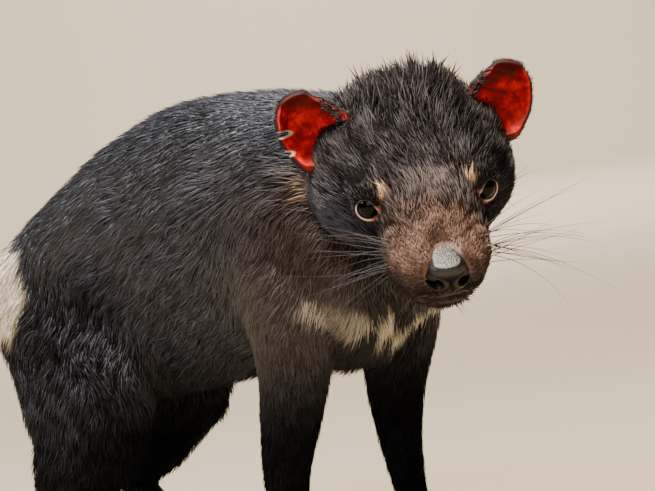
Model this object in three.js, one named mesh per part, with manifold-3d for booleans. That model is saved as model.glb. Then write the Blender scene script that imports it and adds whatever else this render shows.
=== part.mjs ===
// A Tasmanian devil at life size as a still model: it stands mid-step, its head lowered and turned to its right.
// Millimetres, +X forward, +Y to the animal's left, +Z up, floor at z = 0. Each surface is the coat's outer face.
import * as THREE from "three";
import { LoftGeometry } from "three/addons/geometries/LoftGeometry.js";
import { mergeVertices } from "three/addons/utils/BufferGeometryUtils.js";
import Module from "manifold-3d";

const wasm = await Module();
wasm.setup();

// Driving dimensions
const GAP = 0.3; // between one node and the next
const BACK_HEIGHT = 312; // floor to the top of the shoulders
const TRUNK_HALF_WIDTH = 67;
const FORE_STANCE = 49; // middle line to a front foot
const HIND_STANCE = 55; // middle line to a hind foot
const HEAD_PLACE = [202, -38, 241]; // middle of the head
const HEAD_TURN = -41; // degrees about the vertical, to the animal's right
const HEAD_PITCH = 28; // degrees, nose down
const HEAD_ROLL = 0; // degrees, left ear up
const EYE_RADIUS = 7.4;
const EYE_PLACE = [29.5, 34, 8]; // left eye in the head's own frame
const EYE_AIM = 28; // degrees each eye looks outward
const EAR_PLACE = [-20, 48, 26]; // middle of the left ear's root in the head's own frame
const EARS_ASIDE = 1.5; // both ears are held this far to the animal's left
const EAR_AXIS = [-0.34, 0.64, 0.69]; // root to tip
const EAR_FACING = [0.9, 0.12, 0.43];
const EAR_HEIGHT = 37; // root to tip
const EAR_WALL = 2.2;
const NICKS = [[15.5, 24], [23.5, 15.5]]; // on the right ear's outer edge, [across, up] from the root
const NOSE_PLACE = [72, 0, -15];
const NOSE_SIZE = [14.5, 15.5, 13.5];
const TOE_RADIUS = 4.6;
const CLAW_LENGTH = 13;
const TAIL_BASE = [-226, 0, 203];
const DOME_END = 80; // degrees

const { degToRad } = THREE.MathUtils;

// A closed form swept along a smooth spine. Each station is [x, y, z, half width, height above, height below].
// The section is an oval; each end closes in a dome of the given length, and bulges push the surface outward.
function sweep(stations, { rows = 14, columns = 20, top = [0, 0, 1], domes = [8, 8], bulges = [], caps = 3, grow = 0 } = {}) {
  const spine = new THREE.CatmullRomCurve3(stations.map(([x, y, z]) => new THREE.Vector3(x, y, z)));
  const girth = new THREE.CatmullRomCurve3(stations.map((station) => new THREE.Vector3(...station.slice(3))));
  const crown = new THREE.Vector3(...top);
  const ring = (at, push, shrink) => {
    const along = spine.getTangent(at);
    const side = new THREE.Vector3().crossVectors(crown, along).normalize();
    const up = new THREE.Vector3().crossVectors(along, side);
    const centre = spine.getPoint(at).addScaledVector(along, push);
    const size = girth.getPoint(at).addScalar(grow).multiplyScalar(shrink);
    return Array.from({ length: columns }, (_, i) => {
      const turn = (i / columns) * 2 * Math.PI;
      const out = side.clone().multiplyScalar(Math.cos(turn) * size.x);
      out.addScaledVector(up, Math.sin(turn) * (turn < Math.PI ? size.y : size.z));
      const point = centre.clone().add(out);
      const raise = bulges.reduce((sum, { at: middle, reach, height }) => {
        return sum + height * Math.exp(-point.distanceToSquared(middle) / (2 * reach * reach));
      }, 0);
      return point.addScaledVector(out.normalize(), raise * shrink);
    });
  };
  const dome = (at, length, sign) =>
    Array.from({ length: caps }, (_, k) => {
      const angle = degToRad(((k + 1) / caps) * DOME_END);
      return ring(at, sign * (length + grow) * Math.sin(angle), Math.cos(angle));
    });
  const middle = Array.from({ length: rows + 1 }, (_, i) => ring(i / rows, 0, 1));
  const rings = [...dome(0, domes[0], -1).reverse(), ...middle, ...dome(1, domes[1], 1)];
  return solid(new LoftGeometry(rings, { capStart: true, capEnd: true }));
}

// A manifold body from any closed geometry
function solid(geometry) {
  const bare = new THREE.BufferGeometry();
  bare.setAttribute("position", geometry.getAttribute("position"));
  bare.setIndex(geometry.getIndex());
  const merged = mergeVertices(bare, 1e-4);
  const index = merged.getIndex().array;
  const faces = [];
  for (let i = 0; i < index.length; i += 3) {
    const [a, b, c] = index.subarray(i, i + 3);
    if (a !== b && b !== c && c !== a) faces.push(a, b, c);
  }
  const mesh = new wasm.Mesh({
    numProp: 3,
    vertProperties: new Float32Array(merged.getAttribute("position").array),
    triVerts: new Uint32Array(faces),
  });
  return new wasm.Manifold(mesh);
}

const joined = (bodies) => bodies.reduce((sum, body) => sum.add(body));
const mirrored = ([x, y, z, ...sizes], side) => [x, y * side, z, ...sizes];
const bulge = (x, y, z, reach, height) => ({ at: new THREE.Vector3(x, y, z), reach, height });
const bothSides = (make) => [1, -1].map(make);

function ball([x, y, z], radii, grow = 0, segments = [20, 14]) {
  const geometry = new THREE.SphereGeometry(1, ...segments);
  const [a, b, c] = radii.map((radius) => radius + grow);
  return solid(geometry.scale(a, b, c).translate(x, y, z));
}

// A box whose first face stands at a point and looks back along the direction given
function block(at, along, [wide, tall, deep], grow = 0) {
  const geometry = new THREE.BoxGeometry(wide + 2 * grow, tall + 2 * grow, deep + 2 * grow).translate(0, 0, deep / 2);
  const turn = new THREE.Quaternion().setFromUnitVectors(new THREE.Vector3(0, 0, 1), new THREE.Vector3(...along).normalize());
  return solid(geometry.applyQuaternion(turn).translate(...at));
}

function placed(body, matrix) {
  return body.transform(matrix.elements);
}

// Head, in its own frame: +X to the nose, +Y to its left, +Z to the crown
const headTurn = new THREE.Euler(degToRad(HEAD_ROLL), degToRad(HEAD_PITCH), degToRad(HEAD_TURN), "ZYX");
const headFrame = new THREE.Matrix4().makeRotationFromEuler(headTurn).setPosition(...HEAD_PLACE);

const SKULL = [
  [-60, 0, -2, 44, 44, 42],
  [-40, 0, 0, 58, 54, 46],
  [-16, 0, 0, 63, 57, 48],
  [8, 0, -2, 57, 49, 46],
  [28, 0, -6, 43, 36, 43],
  [46, 0, -12, 33, 26, 38],
  [60, 0, -16, 29, 21, 34],
  [72, 0, -18, 23, 17, 29],
];
const HEAD_BULGES = bothSides((side) => [
  bulge(18, side * 34, 22, 11, 3.5), // brow
  bulge(60, side * 20, -20, 11, 3.5), // whisker pad
  bulge(38, side * 38, 6, 9, -3.5), // hollow of the eye
  bulge(-5, side * 55, -18, 18, 3), // cheek
]).flat();
const skull = (grow) => sweep(SKULL, { rows: 15, columns: 24, domes: [14, 8], bulges: HEAD_BULGES, grow });

function eyeFrame(side) {
  const turn = new THREE.Euler(0, degToRad(-6), side * degToRad(EYE_AIM), "ZYX");
  return new THREE.Matrix4().makeRotationFromEuler(turn).setPosition(...mirrored(EYE_PLACE, side));
}

// Both lids as one soft ring about the ball of the eye
function lids(side) {
  const ring = new THREE.TorusGeometry(EYE_RADIUS - 0.3, 2.4, 6, 14).rotateY(Math.PI / 2).scale(1, 1.12, 0.92);
  return placed(solid(ring.translate(4.2, 0, 0)), eyeFrame(side));
}

// The line of the mouth as a thin bent sheet that only bites a little below the skin
function mouthLine() {
  const drop = new THREE.CatmullRomCurve3([
    new THREE.Vector3(24, -23, 0),
    new THREE.Vector3(40, -31, 0),
    new THREE.Vector3(58, -35, 0),
    new THREE.Vector3(92, -35, 0),
  ]);
  const path = drop.getPoints(8);
  const outline = [...path.map(({ x, y }) => [x, y + 0.7]), ...path.reverse().map(({ x, y }) => [x, y - 0.7])];
  const shape = new THREE.Shape(outline.map(([x, y]) => new THREE.Vector2(x, y)));
  const sheet = new THREE.ExtrudeGeometry(shape, { depth: 90, bevelEnabled: false }).rotateX(Math.PI / 2).translate(0, 45, 0);
  return solid(sheet).subtract(skull(-2.4));
}

function nosePad(grow) {
  const pad = ball(NOSE_PLACE, NOSE_SIZE, grow, [14, 8]);
  if (grow > 0) return pad;
  const [x, y, z] = NOSE_PLACE;
  const nostrils = bothSides((side) => ball([x + 9, y + side * 11, z - 4], [5, 3.4, 2.8], 0, [8, 6]));
  const groove = ball([x + 13.8, y, z - 7.5], [2.2, 0.8, 7.5], 0, [6, 6]);
  return pad.subtract(joined([...nostrils, groove]));
}

// An ear: a cup that opens forward, broad at its root; the outer edge of the right one has two old nicks
function ear(side) {
  const h = EAR_HEIGHT;
  const shape = { rows: 7, columns: 16, top: [1, 0, 0], domes: [4, 4], caps: 2 };
  const cup = sweep(
    [[0, 2, -10, 15, 8, 8], [0, 2, 1, 21.5, 10, 9], [0, 1.5, h * 0.38, 20.5, 9, 8], [-1, -1, h * 0.68, 16.5, 7, 6.5], [-2, -4, h * 0.88, 10, 5, 4.5]],
    shape,
  );
  const wall = EAR_WALL;
  const hollow = sweep(
    [[9, 2, -5, 10, 7, 7], [8, 2, 3, 18, 9, 13], [8, 1.5, h * 0.38, 20.5 - wall, 10, 16 - wall], [7, -1, h * 0.66, 16.3 - wall, 10, 14.4 - wall], [5, -4, h * 0.84, 10, 8, 11.5 - wall]],
    { ...shape, columns: 14, domes: [3, 3] },
  );
  let shell = cup.subtract(hollow);
  if (side < 0) {
    const nicks = NICKS.map(([across, up]) => {
      const nick = new THREE.SphereGeometry(1, 8, 6).scale(14, 5.2, 1.9).rotateX(Math.atan2(0.64, 0.77));
      return solid(nick.translate(0, across, up));
    });
    shell = shell.subtract(joined(nicks));
  }
  const z = new THREE.Vector3(...EAR_AXIS).normalize();
  const y = z.clone().cross(new THREE.Vector3(...EAR_FACING)).normalize();
  const frame = new THREE.Matrix4().makeBasis(y.clone().cross(z), y, z).setPosition(...EAR_PLACE);
  return placed(shell, new THREE.Matrix4().makeScale(1, side, 1).multiply(frame)).translate([0, EARS_ASIDE, 0]);
}

// Trunk, neck and tail
const TRUNK = [
  [-216, 0, 192, 44, 28, 48],
  [-185, 0, 194, 57, 40, 68],
  [-135, 0, 205, 64, 57, 92],
  [-75, 0, 214, 67, 79, 101],
  [-5, 0, 222, 68, 91, 101],
  [60, 0, 228, TRUNK_HALF_WIDTH + 1, BACK_HEIGHT - 228, 96],
  [108, 0, 226, 71, 77, 102],
  [138, 0, 222, 62, 62, 89],
];
const NECK = [
  [86, 0, 234, 58, 61, 72],
  [124, -2, 242, 54, 54, 66],
  [156, -8, 251, 50, 49, 58],
  [182, -22, 252, 44, 43, 48],
];
const TAIL = [
  [-198, 0, 204, 24, 20, 26],
  [...TAIL_BASE, 20, 20, 20],
  [-260, 2, 182, 16, 15, 15],
  [-302, 5, 150, 13, 12, 12],
  [-344, 8, 114, 10, 9, 9],
  [-378, 10, 82, 7, 6, 6],
];

// Front leg: shoulder, elbow and wrist stand over each other; toes and claws fuse into the paw
function foreleg(side) {
  const y = side * FORE_STANCE;
  const back = side < 0 ? 20 : 0;
  const reach = side < 0 ? 0 : 14;
  const limb = sweep(
    [
      [94 + reach, y * 0.86, 226, 27, 38, 38],
      [94 + reach, y * 0.96, 186, 27, 34, 36],
      [90 + reach * 0.8, y * 0.96, 148, 26, 29, 31],
      [86 + reach * 0.3 - back * 0.3, y * 0.94, 110, 21, 24, 25],
      [84 - back * 0.7, y, 70, 16, 18, 19],
      [86 - back, y, 28, 13, 13.5, 13.5],
    ],
    { rows: 10, columns: 14, top: [1, 0, 0], domes: [12, 8], caps: 2 },
  );
  return [limb, ...paw([89 - back, y, 0], side, { length: 30, width: 18, toes: 5, heel: 14 })];
}

// A paw with a flat sole, from the heel forward, and its looped toes and claws
function paw([x, y], side, { length, width, toes, heel }) {
  const palm = sweep(
    [
      [x - heel, y, 12, 11, 12, 12],
      [x, y, 12, 14.5, 13, 12],
      [x + length * 0.55, y, 10, width, 10, 10],
      [x + length * 0.8, y, 8, width * 0.9, 7.5, 8],
    ],
    { rows: 4, columns: 12, domes: [7, 5], caps: 2 },
  );
  const digits = Array.from({ length: toes }, (_, i) => {
    const spread = (2 * i) / (toes - 1) - 1;
    const reach = length + 3 - 5 * spread * spread;
    const [rootY, tipY] = [y + spread * width * 0.74, y + spread * width * 1.02];
    const toe = sweep(
      [
        [x + reach * 0.5, rootY, 6, TOE_RADIUS, TOE_RADIUS + 1, 6],
        [x + reach * 0.85, (rootY + tipY) / 2, 6, TOE_RADIUS, TOE_RADIUS + 0.6, 6],
        [x + reach + 3, tipY, 4.6, TOE_RADIUS - 0.5, TOE_RADIUS - 0.6, 4.6],
      ],
      { rows: 2, columns: 7, domes: [2, 3], caps: 1 },
    );
    const claw = sweep(
      [
        [x + reach + 2, tipY, 6.2, 1.9, 2, 2],
        [x + reach + 2 + CLAW_LENGTH * 0.6, tipY + spread, 5.4, 1.4, 1.5, 1.5],
        [x + reach + 2 + CLAW_LENGTH, tipY + spread * 1.6, 2.2, 0.5, 0.5, 0.5],
      ],
      { rows: 2, columns: 5, domes: [0.8, 0.6], caps: 1 },
    );
    return toe.add(claw);
  });
  return [palm, ...digits];
}

// Hind legs: the right one stands under the hip, the left one is stretched back with its heel raised
const HIND = {
  [-1]: { knee: [-62, HIND_STANCE + 2, 112], hock: [-144, HIND_STANCE + 2, 32], ball: [-106, HIND_STANCE + 2], heelLift: 0 },
  [1]: { knee: [-92, HIND_STANCE - 1, 110], hock: [-190, HIND_STANCE - 1, 46], ball: [-158, HIND_STANCE - 1], heelLift: 1 },
};

function thigh(side) {
  const [kx, ky, kz] = HIND[side].knee;
  const stations = [
    [-154, 34, 200, 32, 50, 54],
    [(kx - 150) / 2 - 6, 44, 160, 34, 52, 74],
    [kx - 16, ky - 2, kz + 16, 32, 45, 78],
    [kx - 8, ky, kz - 8, 27, 34, 66],
  ].map((station) => mirrored(station, side));
  return sweep(stations, { rows: 8, columns: 16, top: [1, 0, 0], domes: [22, 12] });
}

function shank(side) {
  const { knee, hock } = HIND[side];
  const mid = knee.map((value, i) => (value + hock[i]) / 2);
  const stations = [
    [knee[0] - 8, knee[1], knee[2] + 2, 28, 30, 54],
    [mid[0] - 6, mid[1], mid[2] + 1, 28, 31, 52],
    [hock[0] + 6, hock[1], hock[2] + 4, 20, 22, 30],
  ].map((station) => mirrored(station, side));
  return sweep(stations, { rows: 6, columns: 14, top: [1, 0, 0], domes: [10, 10], caps: 2 });
}

function hindPaw(side) {
  const { hock, ball: front, heelLift } = HIND[side];
  const heel = sweep(
    [
      [hock[0] - 2, side * hock[1], hock[2] - 8 * (1 - heelLift), 13, 14, 14],
      [(hock[0] + front[0]) / 2, side * hock[1], (hock[2] + 12) / 2, 13, 13, 13],
      [front[0], side * hock[1], 12, 14, 11, 12],
    ],
    { rows: 4, columns: 12, domes: [10, 6], caps: 2 },
  );
  return [heel, ...paw([front[0], side * front[1], 0], side, { length: 32, width: 17, toes: 4, heel: 4 })];
}

// The whole animal, then parted by thin cuts
const above = (body) => body.intersect(block([0, 0, 0], [0, 0, 1], [1200, 600, 600]));
const head = placed(joined([skull(0), ...bothSides(lids)]).subtract(mouthLine()), headFrame);
const trunk = sweep(TRUNK, { rows: 16, columns: 24, domes: [24, 16], caps: 4 });
const neck = sweep(NECK, { rows: 7, columns: 20, domes: [8, 8], caps: 2 });
const tail = sweep(TAIL, { rows: 10, columns: 12, domes: [6, 7], caps: 2 });
const limbs = bothSides((side) => [...foreleg(side), thigh(side), shank(side), ...hindPaw(side)]).flat();
let rest = above(joined([trunk, neck, head, tail, ...limbs]));

const nodes = {};
function peel(name, region) {
  nodes[name] = rest.intersect(region(0));
  rest = rest.subtract(region(GAP));
}

const local = (region) => (grow) => placed(region(grow), headFrame);
for (const [side, word] of [[1, "left"], [-1, "right"]]) {
  const eye = (grow) => placed(ball([0, 0, 0], [EYE_RADIUS, EYE_RADIUS, EYE_RADIUS], grow, [14, 10]), eyeFrame(side));
  nodes[`eye_${word}`] = placed(eye(0), headFrame);
  rest = rest.subtract(placed(eye(GAP), headFrame));
  nodes[`ear_${word}`] = placed(ear(side).subtract(skull(GAP)), headFrame);
  const y = side * FORE_STANCE;
  const back = side < 0 ? 20 : 0;
  peel(`forepaw_${word}`, (grow) => block([98 - back, y, 34], [0.25, 0, -1], [120, 80, 60], grow));
  peel(`foreleg_${word}`, (grow) => {
    const lower = block([86, y, 126], [0, 0, -1], [110, 74, 140], grow);
    return lower.add(ball([side < 0 ? 90 : 100, side * 76, 152], [56, 52, 64], grow, [18, 12]));
  });
  const { knee, hock } = HIND[side];
  const [hx, hy, hz] = hock;
  peel(`hindpaw_${word}`, (grow) => block([hx + 8, side * hy, hz + 14], [0.35, 0, -1], [150, 76, 90], grow));
  peel(`shank_${word}`, (grow) => block([knee[0] - 4, side * (knee[1] + 4), knee[2] - 14], [-0.6, 0, -1], [150, 66, 130], grow));
  peel(`thigh_${word}`, (grow) => ball([knee[0] - 50, side * 80, 160], [90, 68, 102], grow, [20, 14]));
}
nodes.nose_pad = placed(nosePad(0), headFrame);
rest = rest.subtract(placed(nosePad(GAP), headFrame));
peel("head", local((grow) => block([-40, 0, 14], [1, 0, 0], [150, 180, 160], grow)));
peel("neck", (grow) => block([122, -10, 240], [0.82, 0, 0.57], [200, 240, 140], grow));
peel("tail", (grow) => block([...TAIL_BASE], [-0.83, 0, -0.56], [90, 90, 220], grow));
nodes.torso = rest;

const look = (name, color, roughness) => new THREE.MeshStandardMaterial({ name, color, roughness, metalness: 0 });
const coat = look("black_coat", "#28262a", 0.6);
const bare = look("paw_skin", "#2d2422", 0.55);
const LOOKS = {
  ear: look("red_ear_skin", "#b3140b", 0.5),
  eye: look("wet_eye", "#0c0908", 0.08),
  nose: look("nose_leather", "#2b2324", 0.35),
  forepaw: bare,
  hindpaw: bare,
};

// Largest closed surface of each node, moved so that the soles lie on the floor and the plan is centred
const model = new THREE.Group();
model.name = "tasmanian_devil";
const kept = Object.entries(nodes).map(([name, body]) => {
  const parts = body.simplify(0.1).decompose().sort((a, b) => b.volume() - a.volume());
  return [name, parts[0]];
});
for (const [name, body] of kept) {
  const { vertProperties, triVerts } = body.getMesh();
  const geometry = new THREE.BufferGeometry();
  geometry.setAttribute("position", new THREE.BufferAttribute(new Float32Array(vertProperties), 3));
  geometry.setIndex(new THREE.BufferAttribute(new Uint32Array(triVerts), 1));
  const mesh = new THREE.Mesh(geometry, LOOKS[name.split("_")[0]] ?? coat);
  mesh.name = name;
  model.add(mesh);
}
const extent = new THREE.Box3().setFromObject(model);
for (const mesh of model.children) {
  mesh.geometry.translate(-(extent.min.x + extent.max.x) / 2, -(extent.min.y + extent.max.y) / 2, -extent.min.z);
}

export default model;
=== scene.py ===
"""A Tasmanian devil at life size, dressed over its solids: one skin, a coat of solid tufts, eyes, lids,
ears, nose, whiskers and claws."""

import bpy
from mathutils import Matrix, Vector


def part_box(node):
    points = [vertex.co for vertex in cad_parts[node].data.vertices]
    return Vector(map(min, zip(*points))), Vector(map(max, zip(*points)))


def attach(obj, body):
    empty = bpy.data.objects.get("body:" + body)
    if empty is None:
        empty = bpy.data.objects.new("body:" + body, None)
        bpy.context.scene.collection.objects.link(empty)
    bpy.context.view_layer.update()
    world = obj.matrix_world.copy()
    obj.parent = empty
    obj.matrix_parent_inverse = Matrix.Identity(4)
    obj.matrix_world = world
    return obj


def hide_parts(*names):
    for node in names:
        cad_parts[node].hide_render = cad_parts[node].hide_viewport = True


bl_info = {
    "name": "Tasmanian devil",
    "version": (1, 0, 0),
    "blender": (4, 5, 0),
    "location": "View3D > Sidebar > Devil",
    "description": "Builds the skin, coat, face and paws of a standing Tasmanian devil over its solids",
    "category": "Object",
}

import bpy
import numpy as np
from bpy.props import FloatProperty, FloatVectorProperty, PointerProperty
from bpy.types import Operator, Panel, PropertyGroup
from mathutils import Matrix, Vector
from mathutils.bvhtree import BVHTree

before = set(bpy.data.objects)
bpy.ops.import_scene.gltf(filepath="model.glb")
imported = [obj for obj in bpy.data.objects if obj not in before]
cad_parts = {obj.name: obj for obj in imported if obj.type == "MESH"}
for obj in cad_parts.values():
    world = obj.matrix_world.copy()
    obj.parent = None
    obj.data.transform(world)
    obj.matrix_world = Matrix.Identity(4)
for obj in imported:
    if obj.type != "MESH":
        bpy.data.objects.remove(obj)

# The animal's own measure: millimetres, +X forward, +Y to its left, +Z up, floor at 0
MM = 0.001
BACK_HEIGHT = 312.0
TRUNK_HALF_WIDTH = 67.0
FORE_STANCE = 49.0
HEAD_PLACE = np.array([202.0, -38.0, 241.0])
HEAD_TURN = -41.0
HEAD_PITCH = 28.0
HEAD_ROLL = 0.0
EYE_RADIUS = 7.4
EYE_PLACE = np.array([29.5, 34.0, 8.0])
EYE_AIM = 28.0
EAR_PLACE = np.array([-20.0, 48.0, 26.0])
EARS_ASIDE = 1.5
EAR_AXIS = np.array([-0.34, 0.64, 0.69])
EAR_FACING = np.array([0.9, 0.12, 0.43])
EAR_HEIGHT = 37.0
NICKS = ((15.5, 24.0), (23.5, 15.5))
NICK_SIZE = (14.0, 5.2, 1.7)
EAR_CELL = 0.5
NICK_SLOPE = (0.77, 0.64)
NOSE_PLACE = np.array([72.0, 0.0, -15.0])
NOSE_SIZE = np.array([14.5, 15.5, 13.5])
NOSTRIL = (8.6, -3.2)
BROW_SPOT = np.array([37.0, 25.0, 16.5])
CHEEK_SPOT = np.array([-36.0, 60.0, -13.0])
EAR_ROOT = np.array([-11.0, 39.0, 41.0])
TOE_RADIUS = 4.6
CLAW_LENGTH = 13.0
TAIL_BASE = (-226.0, 0.0, 203.0)
DOME_END = 80.0
SIDES = {"left": 1, "right": -1}
FLESH = ("head", "neck", "torso", "tail")
LIMBS = ("foreleg", "forepaw", "thigh", "shank", "hindpaw")
WHISKER_REACH = 280.0
WHISKER_SIDE = -90.0
WHISKER_AIM = -97.0
WHISKER_BEND = 8.0
INNER_CORNER = (0.85, -0.53)

# A lock has a ring at its root, a ring at this fraction of its length, and a point
LOCK_RING = 0.42
LOCK_POINTS = 7

# The camera as fitted to the photograph: degrees, millimetres, and a focal length in pixels of its width
PHOTO_WIDTH = 655
FOCAL_PIXELS = 2300
SENSOR_WIDTH = 36.0
CAMERA_TURN = 48.0
CAMERA_RISE = 4.0
CAMERA_ROLL = 9.0
CAMERA_TARGET = np.array([71.6, 20.7, 203.6])
CAMERA_DISTANCE = 1500

# The floor runs from behind the camera to a wall beyond the animal, with a round corner between
FLOOR_NEAR = -6000
FLOOR_FAR = 4500
CORNER_RADIUS = 1200
WALL_TOP = 3800
STAGE_HALF_WIDTH = 9000
STAGE_STEP = 200
BODY_MIDDLE = (100, -20, 200)

# Stations of each form: x, y, z, half width, height above, height below
TRUNK = (
    (-216, 0, 192, 44, 28, 48),
    (-185, 0, 194, 57, 40, 68),
    (-135, 0, 205, 64, 57, 92),
    (-75, 0, 214, 67, 79, 101),
    (-5, 0, 222, 68, 91, 101),
    (60, 0, 228, TRUNK_HALF_WIDTH + 1, BACK_HEIGHT - 228, 96),
    (108, 0, 226, 71, 77, 102),
    (138, 0, 222, 62, 62, 89),
)
NECK = (
    (86, 0, 234, 58, 61, 72),
    (124, -2, 242, 54, 54, 66),
    (156, -8, 251, 50, 49, 58),
    (182, -22, 252, 44, 43, 48),
)
TAIL = (
    (-198, 0, 204, 24, 20, 26),
    (*TAIL_BASE, 20, 20, 20),
    (-260, 2, 182, 16, 15, 15),
    (-302, 5, 150, 13, 12, 12),
    (-344, 8, 114, 10, 9, 9),
    (-378, 10, 82, 7, 6, 6),
)
SKULL = (
    (-60, 0, -2, 44, 44, 42),
    (-40, 0, 0, 58, 54, 46),
    (-16, 0, 0, 63, 57, 48),
    (8, 0, -2, 57, 49, 46),
    (28, 0, -6, 43, 36, 43),
    (46, 0, -12, 33, 26, 38),
    (60, 0, -16, 29, 21, 34),
    (72, 0, -18, 23, 17, 29),
)
HIND = {
    -1: {"knee": (-62, 57, 112), "hock": (-144, 57, 32), "ball": (-106, 57), "lift": 0.0},
    1: {"knee": (-92, 54, 110), "hock": (-190, 54, 46), "ball": (-158, 54), "lift": 1.0},
}


def turn_matrix(roll, pitch, yaw):
    """The turn that rolls, then pitches, then turns about the vertical, in degrees."""
    axes = ((roll, "X"), (pitch, "Y"), (yaw, "Z"))
    x, y, z = (np.array(Matrix.Rotation(np.radians(angle), 3, axis)) for angle, axis in axes)
    return z @ y @ x


HEAD_FRAME = turn_matrix(HEAD_ROLL, HEAD_PITCH, HEAD_TURN)


def head_to_body(points):
    """Points of the head's own frame in the animal's frame."""
    return np.asarray(points) @ HEAD_FRAME.T + HEAD_PLACE


def body_to_head(points):
    """Points of the animal's frame in the head's own frame."""
    return (np.asarray(points) - HEAD_PLACE) @ HEAD_FRAME


def unit(vectors):
    """Each vector at length one."""
    return vectors / np.maximum(np.linalg.norm(vectors, axis=-1, keepdims=True), 1e-9)


def pressed(directions, normals):
    """Each direction laid down in the surface that has the normal, at length one."""
    return unit(directions - np.sum(directions * normals, axis=1, keepdims=True) * normals)


def smoothstep(low, high, values):
    """A soft step from 0 at low to 1 at high: t squared times three less two t."""
    t = np.clip((values - low) / (high - low), 0, 1)
    return t * t * (3 - 2 * t)


def bell(values, width, power=2):
    """A bell curve of height 1 round 0: e to the minus power of the value over the width."""
    return np.exp(-((values / width) ** power))


def waver(points, size, seed=0):
    """A smooth uneven pattern of the given size in millimetres, from about -1 to 1: six sine waves across
    chance directions."""
    rng = np.random.default_rng(seed)
    total = np.zeros(len(points))
    for _ in range(6):
        direction = unit(rng.normal(size=3))
        phase = rng.uniform(0, 2 * np.pi)
        total += np.sin(points @ direction * (2 * np.pi / (size * rng.uniform(0.7, 1.5))) + phase)
    return total / 3


def from_pair(head, place):
    """How far points of the head lie from the nearer of a pair of places, one on each side."""
    return np.linalg.norm(head * (1, 0, 1) + np.abs(head) * (0, 1, 0) - place, axis=1)


def frame_offset():
    """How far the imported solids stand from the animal's own measure, found from the right eye's ball."""
    low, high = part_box("eye_right")
    middle = (np.array(low) + np.array(high)) / 2 / MM
    return middle - head_to_body(EYE_PLACE * (1, -1, 1))


OFFSET = frame_offset()


def to_world(points):
    """Millimetres of the animal's frame as metres of the scene."""
    return (np.asarray(points) + OFFSET) * MM


def spline(points, at):
    """A smooth curve through the points, read at fractions 0 to 1 of the way along their list: a centripetal
    Catmull-Rom spline, whose slope at each point follows its neighbours by the roots of their distances."""
    p = np.asarray(points, dtype=float)
    p = np.vstack([2 * p[0] - p[1], p, 2 * p[-1] - p[-2]])
    along = np.clip(at, 0, 1) * (len(p) - 3)
    i = np.minimum(along.astype(int), len(p) - 4)
    w = (along - i)[:, None]
    p0, p1, p2, p3 = (p[i + k] for k in range(4))
    d1 = np.linalg.norm(p2 - p1, axis=1, keepdims=True) ** 0.5
    d1 = np.where(d1 < 1e-4, 1.0, d1)
    d0 = np.linalg.norm(p1 - p0, axis=1, keepdims=True) ** 0.5
    d0 = np.where(d0 < 1e-4, d1, d0)
    d2 = np.linalg.norm(p3 - p2, axis=1, keepdims=True) ** 0.5
    d2 = np.where(d2 < 1e-4, d1, d2)
    m1 = ((p1 - p0) / d0 - (p2 - p0) / (d0 + d1) + (p2 - p1) / d1) * d1
    m2 = ((p2 - p1) / d1 - (p3 - p1) / (d1 + d2) + (p3 - p2) / d2) * d1
    start = (2 * w**3 - 3 * w**2 + 1) * p1 + (w**3 - 2 * w**2 + w) * m1
    return start + (3 * w**2 - 2 * w**3) * p2 + (w**3 - w**2) * m2


def spine_frames(stations, at, crown):
    """Centre, direction, side and up of a form's spine at the given fractions."""
    table = np.array(stations, dtype=float)
    centre = spline(table[:, :3], at)
    ahead = spline(table[:, :3], np.clip(at + 1e-4, 0, 1))
    behind = spline(table[:, :3], np.clip(at - 1e-4, 0, 1))
    along = unit(ahead - behind)
    side = unit(np.cross(np.asarray(crown, dtype=float), along))
    return centre, along, side, np.cross(along, side)


def sweep(stations, rows=40, columns=48, crown=(0, 0, 1), domes=(8, 8), bulges=(), caps=6, grow=0.0):
    """A closed form on a grid: an oval section carried along a smooth spine, whose half sizes run smoothly
    from station to station. Each end closes as a quarter ellipse, and each bulge pushes the surface out by
    a bell curve."""
    angle = np.radians(DOME_END) * np.arange(1, caps + 1) / caps
    at = np.concatenate([np.zeros(caps), np.linspace(0, 1, rows + 1), np.ones(caps)])
    first = -(domes[0] + grow) * np.sin(angle[::-1])
    last = (domes[1] + grow) * np.sin(angle)
    push = np.concatenate([first, np.zeros(rows + 1), last])[:, None]
    shrink = np.concatenate([np.cos(angle[::-1]), np.ones(rows + 1), np.cos(angle)])[:, None]
    centre, along, side, up = spine_frames(stations, at, crown)
    size = (spline(np.array(stations, dtype=float)[:, 3:], at) + grow) * shrink
    turn = np.arange(columns) / columns * 2 * np.pi
    tall = np.where(np.sin(turn) > 0, size[:, 1:2], size[:, 2:3])
    out = side[:, None] * (np.cos(turn) * size[:, :1])[..., None]
    out = out + up[:, None] * (np.sin(turn) * tall)[..., None]
    points = (centre + along * push)[:, None] + out
    raised = np.zeros(points.shape[:2])
    for middle, reach, height in bulges:
        raised += height * np.exp(-np.sum((points - middle) ** 2, axis=-1) / (2 * reach**2))
    return points + unit(out) * (raised * shrink)[..., None]


def grid_quads(rows, columns, closed=True):
    """Four-cornered faces of a grid of points, whose last column joins its first when it is closed."""
    i, j = np.meshgrid(np.arange(rows - 1), np.arange(columns if closed else columns - 1), indexing="ij")
    k = (j + 1) % columns
    corners = [i * columns + j, i * columns + k, (i + 1) * columns + k, (i + 1) * columns + j]
    return np.stack(corners, axis=-1).reshape(-1, 4)


def tube_arrays(grid):
    """Points and faces of a closed grid of rings, with a fan of triangles at each end."""
    rings, columns = grid.shape[:2]
    ends = np.array([grid[0].mean(axis=0), grid[-1].mean(axis=0)])
    points = np.concatenate([grid.reshape(-1, 3), ends])
    j = np.arange(columns)
    first, last = len(points) - 2, len(points) - 1
    low = np.stack([(j + 1) % columns, j, np.full(columns, first)], axis=-1)
    base = (rings - 1) * columns
    high = np.stack([base + j, base + (j + 1) % columns, np.full(columns, last)], axis=-1)
    return points, grid_quads(rings, columns), np.concatenate([low, high])


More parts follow.
